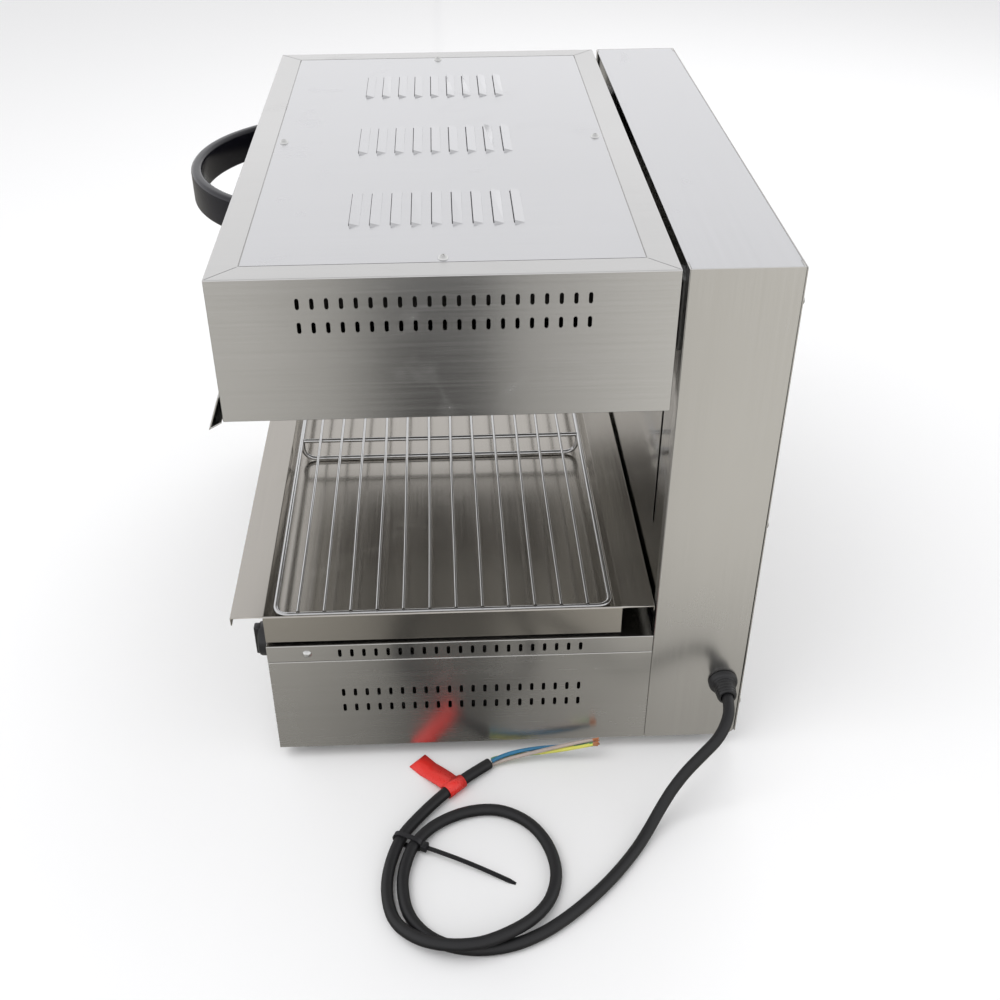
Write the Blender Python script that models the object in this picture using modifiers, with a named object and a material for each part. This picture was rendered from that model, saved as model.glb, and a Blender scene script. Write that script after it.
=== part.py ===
# Countertop lift-up grill: a heating hood that rises and falls on a rear column above a drip tray.
# Metres, +Z up, front towards -Y, origin on the floor at the middle of the body's own box.
import math

import bmesh
import bpy
from mathutils import Matrix, Vector

# ---------------------------------------------------------------- driving sizes
BODY_WIDTH = 0.600
BODY_DEPTH = 0.445           # hood front to column rear
BODY_HEIGHT = 0.500          # floor to the top sheets
FOOT_HEIGHT = 0.015
FOOT_RADIUS = 0.015
FOOT_INSET = 0.0305          # side of the body to a foot's centre
SHEET = 0.0012
TOUCH = 0.0003               # gap kept between touching pieces

HOOD_DEPTH = 0.352
HOOD_HEIGHT = 0.1205
HOOD_FRAME = 0.023           # width of the mitred flange round the top panel
PANEL_GAP = 0.0010           # flange to the top panel's edge
HOOD_LEDGE = 0.010
HOOD_LIP = 0.012             # flange turned in along the bottom
HOOD_TO_COLUMN = 0.005
HOOD_TRAVEL = 0.180
HANDLE_REACH = 0.056
HANDLE_HALF_SPAN = 0.108
HANDLE_THICKNESS = 0.010
HANDLE_HEIGHT = 0.031
HANDLE_TOP_DROP = 0.0145     # top of the hood to the top of the handle

BASE_SETBACK = 0.0075        # base front behind the hood front
BASE_TOP = 0.143
BASE_STRIP = 0.0185          # slotted flange of the base's top cover
COLUMN_FLANGE = 0.012

TRAY_INSET = 0.0035          # tray side behind the base side
TRAY_LENGTH = 0.320
TRAY_WALL = 0.030
TRAY_FRONT_LIP = 0.0275
TRAY_REAR_LIP = 0.0275
TRAY_LIFT = 0.0025           # gap under the tray, filled by its rest frame
RACK_WIRE = 0.0025
RACK_THIN_WIRE = 0.0015
RACK_BRACE_WIRE = 0.0023
BRACE_BEND = 0.013
RACK_LEG = 0.0225            # frame wire down to the foot of a brace
RACK_SIDE_GAP = 0.0053       # tray wall to the frame wire's centre
RACK_END_GAP = 0.0085
RACK_WIRES = 12

SLOT_COUNT = 21
SLOT_PITCH = 0.0109
SLOT_WIDTH = 0.0032
SLOT_HEIGHT = 0.0095
SLOT_END_STEPS = 3
HOOD_SLOT_DROPS = (0.0207, 0.0403)     # below the hood's top
STRIP_SLOT_DROP = 0.0095               # below the base's top
STRIP_SCREW_INSET = 0.036              # from the base's front
PANEL_SLOT_HEIGHTS = (0.0658, 0.0850)  # above the floor
LOUVRE_COUNT = 9
LOUVRE_PITCH = 0.0165
LOUVRE_LENGTH = 0.078
LOUVRE_DEPTH = 0.008
LOUVRE_END = 0.004           # slope at each end of a louvre
LOUVRE_RISE = 0.0024
LOUVRE_ROW_PITCH = 0.169

LIFT_X = 0.243               # middle plane to each lift slot
LIFT_SLOT_WIDTH = 0.008
LIFT_WEB = 0.005
ROD_RADIUS = 0.006
ROD_CLEARANCE = 0.0003
SOCKET_HEIGHT = 0.012
SOCKET_RADIUS = 0.011
CARRIAGE_HEIGHT = 0.060
CARRIAGE_WIDTH = 0.030
CARRIAGE_DEPTH = 0.028
CHAIN_X = 0.205
CHAIN_BAND = 0.004
CHAIN_WIDTH = 0.005
SPROCKET_RADIUS = 0.0135
SHAFT_RADIUS = 0.004
SHAFT_CLEARANCE = 0.0003
AXLE_FOOT = 0.006
FOOT_GAUGE = 0.022                     # an axle foot in from its chain
WEIGHT_SIZE = (0.360, 0.058, 0.069)

KNOB_X = 0.215
KNOB_Z = 0.080
KNOB_RADIUS = 0.021
KNOB_DEPTH = 0.021
KNOB_STEM_RADIUS = 0.003
KNOB_STEM_REACH = 0.0105
GRIP_HALF = 0.0045           # raised bar across the knob's face
GRIP_RISE = 0.004
GRIP_REACH = 0.017
REGULATOR_HALF = 0.021
REST_INSET = 0.0175                    # the strip under the tray, in from the tray's edges
REST_WIDTH = 0.008
REGULATOR_DEPTH = 0.038
LAMP_X = 0.165
LAMP_RADIUS = 0.0045
LAMP_RISE = 0.004
LAMP_LENGTH = 0.022

SCREW_RADIUS = 0.0038
SCREW_RISE = 0.0020
COVER_SCREW_INSET = 0.007
COVER_SCREW_LOW = 0.038
COVER_SCREW_DROP = 0.030

DEFLECTOR_RISE = 0.0225      # hood bottom up to the sloping lip's top edge
DEFLECTOR_REACH = 0.0096
DEFLECTOR_DROP = 0.0045
LINER_INSET = 0.028
LINER_HEIGHT = 0.070
ELEMENT_RADIUS = 0.004
ELEMENT_PASSES = 4
ELEMENT_PITCH = 0.066
ELEMENT_DROP = 0.022         # liner roof to an element's centre
BUSHING_RADIUS = 0.0075
SUPPORT_X = 0.135
SUPPORT_INSET = 0.020
SUPPORT_HALF_WIDTH = 0.006
BLANKET_INSET = 0.004
BLANKET_THICKNESS = 0.024
TERMINAL_SIZE = (0.034, 0.030, 0.0217)
TERMINAL_INSET = 0.024                 # from the body's right face

GLAND_DROP = (0.0192, 0.085)           # from the column's rear, above the floor
GLAND_RADIUS = 0.0135
CORD_RADIUS = 0.00525
CORD_CLEARANCE = 0.0006
CONDUCTOR_RADIUS = 0.0019
TIE_WIDTH = 0.0045
TIE_TAIL = 0.085
FLAG_WIDTH = 0.020
FLAG_LENGTH = 0.052

# ---------------------------------------------------------------- places worked out from the sizes
HALF_WIDTH = BODY_WIDTH / 2
TOTAL_DEPTH = HANDLE_REACH + BODY_DEPTH + SCREW_RISE + TOUCH
HOOD_FRONT = -TOTAL_DEPTH / 2 + HANDLE_REACH
HOOD_REAR = HOOD_FRONT + HOOD_DEPTH
HOOD_MID = (HOOD_FRONT + HOOD_REAR) / 2
HOOD_BOTTOM = BODY_HEIGHT - HOOD_HEIGHT
COLUMN_FRONT = HOOD_REAR + HOOD_TO_COLUMN
COLUMN_REAR = HOOD_FRONT + BODY_DEPTH
COVER_FACE = COLUMN_REAR - SHEET - TOUCH
BASE_FRONT = HOOD_FRONT + BASE_SETBACK
BASE_REAR = COLUMN_FRONT - TOUCH
BASE_MID = (BASE_FRONT + BASE_REAR) / 2
STRIP_BOTTOM = BASE_TOP - BASE_STRIP
FLOOR_TOP = FOOT_HEIGHT + 2 * SHEET + TOUCH
TRAY_HALF = HALF_WIDTH - TRAY_INSET
TRAY_FLOOR = BASE_TOP + TRAY_LIFT
TRAY_RIM = TRAY_FLOOR + TRAY_WALL
TRAY_REAR = BASE_FRONT + TRAY_LENGTH
COLUMN_TOP_FACE = BODY_HEIGHT - SHEET
ROD_Y = COLUMN_FRONT + 0.0225
SHAFT_Y = ROD_Y + SPROCKET_RADIUS + CHAIN_BAND / 2 + 0.0002
SHAFT_Z = BODY_HEIGHT - 0.049
IDLER_Z = FOOT_HEIGHT + 0.045
LIFT_SLOT_TOP = BODY_HEIGHT - 0.020
CARRIAGE_TOP = BODY_HEIGHT - 0.0285
CARRIAGE_BOTTOM = CARRIAGE_TOP - CARRIAGE_HEIGHT
LIFT_SLOT_BOTTOM = CARRIAGE_BOTTOM - HOOD_TRAVEL - 0.002
LINER_HALF = HALF_WIDTH - LINER_INSET
LINER_FRONT = HOOD_FRONT + LINER_INSET
LINER_REAR = HOOD_REAR - LINER_INSET
LINER_BOTTOM = HOOD_BOTTOM + 2 * SHEET + TOUCH
LINER_ROOF = LINER_BOTTOM + LINER_HEIGHT
ELEMENT_Z = LINER_ROOF - SHEET - ELEMENT_DROP
GLAND_Y = COLUMN_REAR - GLAND_DROP[0]
GLAND_Z = GLAND_DROP[1]
GLAND_TIP = HALF_WIDTH + 0.0225

for old in list(bpy.data.objects):
    bpy.data.objects.remove(old, do_unlink=True)

parts = bpy.data.collections.new("lift_grill")
cutters = bpy.data.collections.new("cutters")
bpy.context.scene.collection.children.link(parts)
bpy.context.scene.collection.children.link(cutters)


# ---------------------------------------------------------------- materials
def finish(name, colour, roughness, metallic):
    mat = bpy.data.materials.new(name)
    mat.use_nodes = True
    shader = mat.node_tree.nodes["Principled BSDF"]
    shader.inputs["Base Color"].default_value = (*colour, 1.0)
    shader.inputs["Roughness"].default_value = roughness
    shader.inputs["Metallic"].default_value = metallic
    return mat


BRUSHED = (0.62, 0.61, 0.59)
BRIGHT = (0.75, 0.75, 0.76)
GALVANISED = (0.50, 0.52, 0.53)
DARK_STEEL = (0.20, 0.20, 0.21)
BLACK = (0.012, 0.012, 0.014)
RUBBER = (0.02, 0.02, 0.022)


def steel(name):
    return finish(name + "_steel", BRUSHED, 0.34, 1.0)


def plastic(name):
    return finish(name + "_plastic", BLACK, 0.28, 0.0)


# ---------------------------------------------------------------- shape helpers
def axis_empty(name, place, parent=None):
    empty = bpy.data.objects.new(name, None)
    parts.objects.link(empty)
    empty.location = place
    if parent is not None:
        empty.parent = parent
        empty.location = Vector(place) - parent.matrix_world.translation
    bpy.context.view_layer.update()
    return empty


def add_object(name, bm, mat, place=(0, 0, 0), parent=None, smooth=False):
    mesh = bpy.data.meshes.new(name)
    bm.to_mesh(mesh)
    bm.free()
    obj = bpy.data.objects.new(name, mesh)
    if mat is None:
        cutters.objects.link(obj)
        obj.hide_render = True
        obj.display_type = "WIRE"
    else:
        parts.objects.link(obj)
        mesh.materials.append(mat)
    obj.location = place
    if parent is not None:
        obj.parent = parent
        obj.location = Vector(place) - parent.matrix_world.translation
    if smooth:
        mesh.shade_smooth()
        mesh.set_sharp_from_angle(angle=math.radians(35))
    bpy.context.view_layer.update()
    return obj


def add_box(bm, low, high, origin=(0, 0, 0)):
    size = [high[i] - low[i] for i in range(3)]
    middle = [(high[i] + low[i]) / 2 - origin[i] for i in range(3)]
    verts = bmesh.ops.create_cube(bm, size=1.0)["verts"]
    bmesh.ops.scale(bm, vec=size, verts=verts)
    bmesh.ops.translate(bm, vec=middle, verts=verts)
    return verts


def box(name, low, high, mat, parent=None):
    middle = [(low[i] + high[i]) / 2 for i in range(3)]
    bm = bmesh.new()
    add_box(bm, low, high, middle)
    return add_object(name, bm, mat, middle, parent)


TURN = {"X": Matrix.Rotation(math.pi / 2, 4, "Y"), "Y": Matrix.Rotation(-math.pi / 2, 4, "X"), "Z": Matrix()}


def add_rod(bm, start, length, radius, axis, sides=20, end_radius=None, origin=(0, 0, 0)):
    tip = radius if end_radius is None else end_radius
    turn = TURN[axis]
    middle = Vector(start) - Vector(origin) + turn @ Vector((0, 0, length / 2))
    bmesh.ops.create_cone(
        bm, cap_ends=True, segments=sides, radius1=radius, radius2=tip, depth=length,
        matrix=Matrix.Translation(middle) @ turn)


def rod(name, start, length, radius, axis, mat, parent=None, sides=20):
    bm = bmesh.new()
    add_rod(bm, start, length, radius, axis, sides, origin=start)
    return add_object(name, bm, mat, start, parent, smooth=True)


def thicken(obj, side=-1.0):
    mod = obj.modifiers.new("sheet", "SOLIDIFY")
    mod.thickness = SHEET
    mod.offset = side
    mod.use_even_offset = True
    mod.use_quality_normals = True
    return obj


def open_box(name, low, high, mat, missing, parent=None):
    """A folded sheet with the outer size given, open on the sides named in missing, such as '+Z'."""
    middle = [(low[i] + high[i]) / 2 for i in range(3)]
    bm = bmesh.new()
    add_box(bm, low, high, middle)
    drop = [f for f in bm.faces if side_of(f) in missing]
    bmesh.ops.delete(bm, geom=drop, context="FACES")
    return thicken(add_object(name, bm, mat, middle, parent))


def side_of(face):
    normal = face.normal
    normal = normal if normal.length else Vector((0, 0, 1))
    index = max(range(3), key=lambda i: abs(normal[i]))
    return ("+" if normal[index] > 0 else "-") + "XYZ"[index]


def folded_strip(name, profile, half_length, mat, parent=None, side=-1.0):
    """A sheet folded along X: its profile is a list of (y, z) points."""
    first = (0.0, profile[0][0], profile[0][1])
    bm = bmesh.new()
    verts = [bm.verts.new((-half_length, y - first[1], z - first[2])) for y, z in profile]
    edges = [bm.edges.new(pair) for pair in zip(verts, verts[1:])]
    out = bmesh.ops.extrude_edge_only(bm, edges=edges)
    moved = [v for v in out["geom"] if isinstance(v, bmesh.types.BMVert)]
    bmesh.ops.translate(bm, vec=(2 * half_length, 0, 0), verts=moved)
    return thicken(add_object(name, bm, mat, first, parent), side)


def boolean(obj, other, operation="DIFFERENCE"):
    mod = obj.modifiers.new(other.name, "BOOLEAN")
    mod.operation = operation
    mod.solver = "EXACT"
    mod.object = other
    return obj


def cutter(name, boxes=(), rods=()):
    bm = bmesh.new()
    for low, high in boxes:
        add_box(bm, low, high)
    for start, length, radius, axis in rods:
        add_rod(bm, start, length, radius, axis)
    return add_object(name, bm, None)


def outline_solid(name, outline, low_z, high_z, mat, parent=None, place=(0, 0)):
    """A flat outline of (x, y) points standing from low_z to high_z."""
    curve = bpy.data.curves.new(name, "CURVE")
    curve.dimensions = "2D"
    curve.fill_mode = "BOTH"
    curve.extrude = (high_z - low_z) / 2
    spline = curve.splines.new("POLY")
    spline.points.add(len(outline) - 1)
    for point, (x, y) in zip(spline.points, outline):
        point.co = (x - place[0], y - place[1], 0, 1)
    spline.use_cyclic_u = True
    return curve_object(name, curve, mat, (*place, (low_z + high_z) / 2), parent)


def curve_object(name, curve, mat, place, parent=None):
    """Turns a curve into a closed mesh with welded caps."""
    guide = bpy.data.objects.new(name + "_curve", curve)
    bpy.context.scene.collection.objects.link(guide)
    guide.location = place
    bpy.context.view_layer.update()
    graph = bpy.context.evaluated_depsgraph_get()
    mesh = bpy.data.meshes.new_from_object(guide.evaluated_get(graph))
    bm = bmesh.new()
    bm.from_mesh(mesh)
    bmesh.ops.remove_doubles(bm, verts=bm.verts[:], dist=0.00001)
    bmesh.ops.recalc_face_normals(bm, faces=bm.faces[:])
    bpy.data.objects.remove(guide, do_unlink=True)
    bpy.data.meshes.remove(mesh)
    return add_object(name, bm, mat, place, parent, smooth=True)


def wire_curve(name, points, radius, closed=False, resolution=2):
    curve = bpy.data.curves.new(name, "CURVE")
    curve.dimensions = "3D"
    curve.bevel_depth = radius
    curve.bevel_resolution = resolution
    curve.use_fill_caps = not closed
    curve.twist_mode = "MINIMUM" if not closed else "Z_UP"
    spline = curve.splines.new("POLY")
    spline.points.add(len(points) - 1)
    for point, place in zip(spline.points, points):
        point.co = (*place, 1)
    spline.use_cyclic_u = closed
    return curve


def wire(name, points, radius, mat, parent=None, closed=False, resolution=2):
    """A round wire through world points."""
    start = Vector(points[0])
    local = [Vector(p) - start for p in points]
    return curve_object(name, wire_curve(name, local, radius, closed, resolution), mat, start, parent)


def arc(centre, radius, start_deg, end_deg, steps):
    """(u, v) points on an arc."""
    out = []
    for i in range(steps + 1):
        angle = math.radians(start_deg + (end_deg - start_deg) * i / steps)
        out.append((centre[0] + radius * math.cos(angle), centre[1] + radius * math.sin(angle)))
    return out


def smooth_route(points, spacing):
    """Catmull-Rom points along a route, a spacing apart."""
    ends = [2 * Vector(points[0]) - Vector(points[1])]
    ends += [Vector(p) for p in points]
    ends += [2 * Vector(points[-1]) - Vector(points[-2])]
    fine = []
    steps = 24
    for a, b, c, d in zip(ends, ends[1:], ends[2:], ends[3:]):
        for i in range(steps):
            t = i / steps
            fine.append(0.5 * (2 * b + (c - a) * t + (2 * a - 5 * b + 4 * c - d) * t ** 2
                               + (3 * b - a - 3 * c + d) * t ** 3))
    fine.append(ends[-2])
    lengths = [0.0]
    for a, b in zip(fine, fine[1:]):
        lengths.append(lengths[-1] + (b - a).length)
    count = max(2, round(lengths[-1] / spacing))
    out = []
    j = 0
    for i in range(count + 1):
        want = lengths[-1] * i / count
        while j < len(lengths) - 2 and lengths[j + 1] < want:
            j += 1
        part = (want - lengths[j]) / max(lengths[j + 1] - lengths[j], 1e-9)
        out.append(fine[j].lerp(fine[j + 1], min(1.0, max(0.0, part))))
    return out


def slot_cutter(name, middle_y, heights):
    """Cuts rows of upright round-ended slots through both side walls."""
    reach = HALF_WIDTH + SLOT_HEIGHT
    end = SLOT_WIDTH / 2
    ends = arc((0, SLOT_HEIGHT / 2 - end), end, 0, 180, SLOT_END_STEPS)
    ends += arc((0, end - SLOT_HEIGHT / 2), end, 180, 360, SLOT_END_STEPS)
    bm = bmesh.new()
    for z in heights:
        for i in range(SLOT_COUNT):
            y = middle_y + (i - (SLOT_COUNT - 1) / 2) * SLOT_PITCH
            face = bm.faces.new([bm.verts.new((-reach, y + u, z + v)) for u, v in ends])
            out = bmesh.ops.extrude_face_region(bm, geom=[face])
            moved = [v for v in out["geom"] if isinstance(v, bmesh.types.BMVert)]
            bmesh.ops.translate(bm, vec=(2 * reach, 0, 0), verts=moved)
    bmesh.ops.recalc_face_normals(bm, faces=bm.faces[:])
    return add_object(name, bm, None)


def screw_heads(panel, places, axis):
    """Domed heads standing on a panel's face: each place is a point on the face and the way out of it."""
    bm = bmesh.new()
    for place, sign in places:
        low = Vector(place)
        wide, narrow = SCREW_RADIUS, SCREW_RADIUS * 0.6
        reach = SCREW_RISE + SHEET / 2
        along = "XYZ".index(axis)
        if sign > 0:
            low[along] -= SHEET / 2
        else:
            low[along] -= SCREW_RISE
            wide, narrow = narrow, wide
        add_rod(bm, low, reach, wide, axis, 10, narrow)
    boolean(panel, add_object(panel.name + "_screws", bm, None, smooth=True), "UNION")


# ---------------------------------------------------------------- base
def build_base():
    for side, sign in (("right", 1), ("left", -1)):
        outer = sign * HALF_WIDTH
        inner = sign * (HALF_WIDTH - COLUMN_FLANGE)
        low = (min(outer, inner), BASE_FRONT, FOOT_HEIGHT)
        high = (max(outer, inner), BASE_REAR, STRIP_BOTTOM - TOUCH)
        open_side = "-X" if sign > 0 else "+X"
        panel = open_box("base_side_" + side, low, high, steel("base_side_" + side), (open_side, "+Y"))
        boolean(panel, slot_cutter("base_side_slots_" + side, BASE_MID, PANEL_SLOT_HEIGHTS))
    cover = open_box(
        "base_top_cover", (-HALF_WIDTH + TOUCH, BASE_FRONT, STRIP_BOTTOM),
        (HALF_WIDTH - TOUCH, BASE_REAR, BASE_TOP), steel("base_top_cover"), ("-Z", "+Y"))
    boolean(cover, slot_cutter("strip_slots", BASE_MID, [BASE_TOP - STRIP_SLOT_DROP]))
    inner = HALF_WIDTH - COLUMN_FLANGE - TOUCH
    front = box(
        "base_front_panel", (-inner, BASE_FRONT, FOOT_HEIGHT),
        (inner, BASE_FRONT + SHEET, STRIP_BOTTOM - TOUCH), steel("base_front_panel"))
    holes = [((s * KNOB_X, BASE_FRONT - 0.01, KNOB_Z), 0.03, KNOB_STEM_RADIUS + 0.001, "Y") for s in (-1, 1)]
    holes += [((s * LAMP_X, BASE_FRONT - 0.01, KNOB_Z), 0.03, LAMP_RADIUS + TOUCH, "Y") for s in (-1, 1)]
    boolean(front, cutter("front_holes", rods=holes))
    floor_low = (-HALF_WIDTH + SHEET + TOUCH, BASE_FRONT + SHEET + TOUCH, FOOT_HEIGHT + SHEET + TOUCH)
    floor_high = (HALF_WIDTH - SHEET - TOUCH, COVER_FACE - SHEET - TOUCH, FLOOR_TOP)
    floor = box("chassis_floor", floor_low, floor_high, finish("chassis_zinc", GALVANISED, 0.45, 1.0))
    rod_sockets(floor, FLOOR_TOP, 1)
    flange_notches(floor, (COLUMN_FRONT,), FOOT_HEIGHT, FLOOR_TOP + 0.01)
    for name, x, y in (
            ("foot_front_right", 1, BASE_FRONT + 0.034), ("foot_front_left", -1, BASE_FRONT + 0.034),
            ("foot_rear_right", 1, COLUMN_REAR - 0.034), ("foot_rear_left", -1, COLUMN_REAR - 0.034)):
        place = (x * (HALF_WIDTH - FOOT_INSET), y, 0)
        bm = bmesh.new()
        add_rod(bm, place, FOOT_HEIGHT - TOUCH, FOOT_RADIUS * 0.85, "Z", 20, FOOT_RADIUS, origin=place)
        add_object(name, bm, finish(name + "_rubber", RUBBER, 0.8, 0.0), place, smooth=True)
    rest_x = TRAY_HALF - REST_INSET
    rest_front = BASE_FRONT + REST_INSET
    rest_rear = TRAY_REAR - REST_INSET
    rest = box(
        "tray_rest_frame", (-rest_x, rest_front, BASE_TOP + TOUCH), (rest_x, rest_rear, TRAY_FLOOR - TOUCH),
        finish("tray_rest_strip", DARK_STEEL, 0.6, 0.0))
    hole_low = (REST_WIDTH - rest_x, rest_front + REST_WIDTH, BASE_TOP - REST_WIDTH)
    hole_high = (rest_x - REST_WIDTH, rest_rear - REST_WIDTH, TRAY_RIM)
    boolean(rest, cutter("rest_middle", [(hole_low, hole_high)]))
    screw_y = BASE_FRONT + STRIP_SCREW_INSET
    places = [((s * (HALF_WIDTH - TOUCH), screw_y, BASE_TOP - STRIP_SLOT_DROP), s) for s in (-1, 1)]
    screw_heads(cover, places, "X")


def flange_notches(plate, faces, low_z, high_z):
    """Clears the corners of a plate where the column sides' flanges pass it."""
    inner = HALF_WIDTH - COLUMN_FLANGE - 0.001
    boxes = []
    for y in faces:
        for low_x, high_x in ((inner, HALF_WIDTH), (-HALF_WIDTH, -inner)):
            boxes.append(((low_x, y - TOUCH, low_z), (high_x, y + SHEET + TOUCH, high_z)))
    boolean(plate, cutter(plate.name + "_notches", boxes))


def rod_sockets(plate, face_z, way):
    """Two short sleeves standing off a plate's inner face, each holding one end of a guide rod."""
    sleeves = bmesh.new()
    low_z = face_z - SHEET / 2 if way > 0 else face_z + SHEET / 2 - SOCKET_HEIGHT
    for sign in (-1, 1):
        add_rod(sleeves, (sign * LIFT_X, ROD_Y, low_z), SOCKET_HEIGHT, SOCKET_RADIUS, "Z", 20)
    boolean(plate, add_object(plate.name + "_sleeves", sleeves, None), "UNION")
    hole_z = face_z if way > 0 else face_z - 2 * SOCKET_HEIGHT
    holes = [((sign * LIFT_X, ROD_Y, hole_z), 2 * SOCKET_HEIGHT, ROD_RADIUS + TOUCH, "Z") for sign in (-1, 1)]
    boolean(plate, cutter(plate.name + "_rod_holes", rods=holes))


def build_controls():
    lamp_colours = {"right": (0.75, 0.08, 0.04), "left": (0.1, 0.5, 0.12)}
    for side, sign in (("right", 1), ("left", -1)):
        x = sign * KNOB_X
        body_front = BASE_FRONT + SHEET + TOUCH
        low = (x - REGULATOR_HALF, body_front, KNOB_Z - REGULATOR_HALF)
        high = (x + REGULATOR_HALF, body_front + REGULATOR_DEPTH, KNOB_Z + REGULATOR_HALF)
        body = box(
            "heat_regulator_" + side, low, high, finish("regulator_" + side, (0.75, 0.73, 0.68), 0.6, 0.0))
        bore_radius = KNOB_STEM_RADIUS + SHAFT_CLEARANCE
        bore = [((x, BASE_FRONT - SHEET, KNOB_Z), KNOB_STEM_REACH + REGULATOR_HALF, bore_radius, "Y")]
        boolean(body, cutter("regulator_bore_" + side, rods=bore))
        axis = axis_empty("knob_axis_" + side, (x, BASE_FRONT, KNOB_Z))
        knob_back = BASE_FRONT - 3 * TOUCH
        knob_face = knob_back - KNOB_DEPTH
        place = (x, knob_back, KNOB_Z)
        bm = bmesh.new()
        waist = KNOB_RADIUS * 0.88
        add_rod(bm, (x, knob_face, KNOB_Z), KNOB_DEPTH, waist, "Y", 32, KNOB_RADIUS, origin=place)
        knob = add_object("knob_" + side, bm, plastic("knob_" + side), place, axis, smooth=True)
        low = (x - GRIP_HALF, knob_face - GRIP_RISE, KNOB_Z - GRIP_REACH)
        high = (x + GRIP_HALF, knob_face + GRIP_RISE, KNOB_Z + GRIP_REACH)
        boolean(knob, box("knob_grip_bar_" + side, low, high, None), "UNION")
        stem = [((x, knob_back - TOUCH, KNOB_Z), KNOB_STEM_REACH, KNOB_STEM_RADIUS, "Y")]
        boolean(knob, cutter("knob_stem_" + side, rods=stem), "UNION")
        lamp_face = (sign * LAMP_X, BASE_FRONT - LAMP_RISE, KNOB_Z)
        rod("indicator_lamp_" + side, lamp_face, LAMP_LENGTH, LAMP_RADIUS, "Y",
            finish("lamp_" + side, lamp_colours[side], 0.2, 0.0))


# ---------------------------------------------------------------- column
def build_column():
    for side, sign in (("right", 1), ("left", -1)):
        outer = sign * HALF_WIDTH
        inner = sign * (HALF_WIDTH - COLUMN_FLANGE)
        low = (min(outer, inner), COLUMN_FRONT, FOOT_HEIGHT)
        high = (max(outer, inner), COVER_FACE, BODY_HEIGHT)
        open_side = "-X" if sign > 0 else "+X"
        panel = open_box(
            "column_side_" + side, low, high, steel("column_side_" + side), (open_side, "+Z", "-Z"))
        chamfer = cutter("column_chamfer_" + side, [((-0.05, -0.004, -0.004), (0.05, 0.004, 0.004))])
        chamfer.location = (outer, COVER_FACE, FOOT_HEIGHT)
        chamfer.rotation_euler = (math.radians(45), 0, 0)
        boolean(panel, chamfer)
        if sign > 0:
            hole = [((HALF_WIDTH - 0.006, GLAND_Y, GLAND_Z), 0.012, 0.0078, "X")]
            boolean(panel, cutter("gland_hole", rods=hole))
    inner = HALF_WIDTH - SHEET - TOUCH
    top = box(
        "column_top_cover", (-inner, COLUMN_FRONT, COLUMN_TOP_FACE), (inner, COVER_FACE, BODY_HEIGHT),
        steel("column_top_cover"))
    rod_sockets(top, COLUMN_TOP_FACE, -1)
    flange_notches(top, (COLUMN_FRONT, COVER_FACE - SHEET), COLUMN_TOP_FACE - 0.01, BODY_HEIGHT + 0.01)
    front = box(
        "column_front_panel", (-inner, COLUMN_FRONT + SHEET + TOUCH, BASE_TOP + TOUCH),
        (inner, COLUMN_FRONT + 2 * SHEET + TOUCH, COLUMN_TOP_FACE - TOUCH), steel("column_front_panel"))
    slots = [((s * LIFT_X - LIFT_SLOT_WIDTH / 2, COLUMN_FRONT - 0.01, LIFT_SLOT_BOTTOM),
              (s * LIFT_X + LIFT_SLOT_WIDTH / 2, COLUMN_FRONT + 0.02, LIFT_SLOT_TOP)) for s in (-1, 1)]
    boolean(front, cutter("lift_slots", slots))
    cover = box(
        "column_rear_cover", (-HALF_WIDTH, COLUMN_REAR - SHEET, FOOT_HEIGHT + 0.004),
        (HALF_WIDTH, COLUMN_REAR, BODY_HEIGHT), steel("column_rear_cover"))
    heights = (FOOT_HEIGHT + COVER_SCREW_LOW, BODY_HEIGHT * 0.52, BODY_HEIGHT - COVER_SCREW_DROP)
    screw_x = HALF_WIDTH - COVER_SCREW_INSET
    places = [((s * screw_x, COLUMN_REAR, z), 1) for s in (-1, 1) for z in heights]
    screw_heads(cover, places, "Y")


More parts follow.
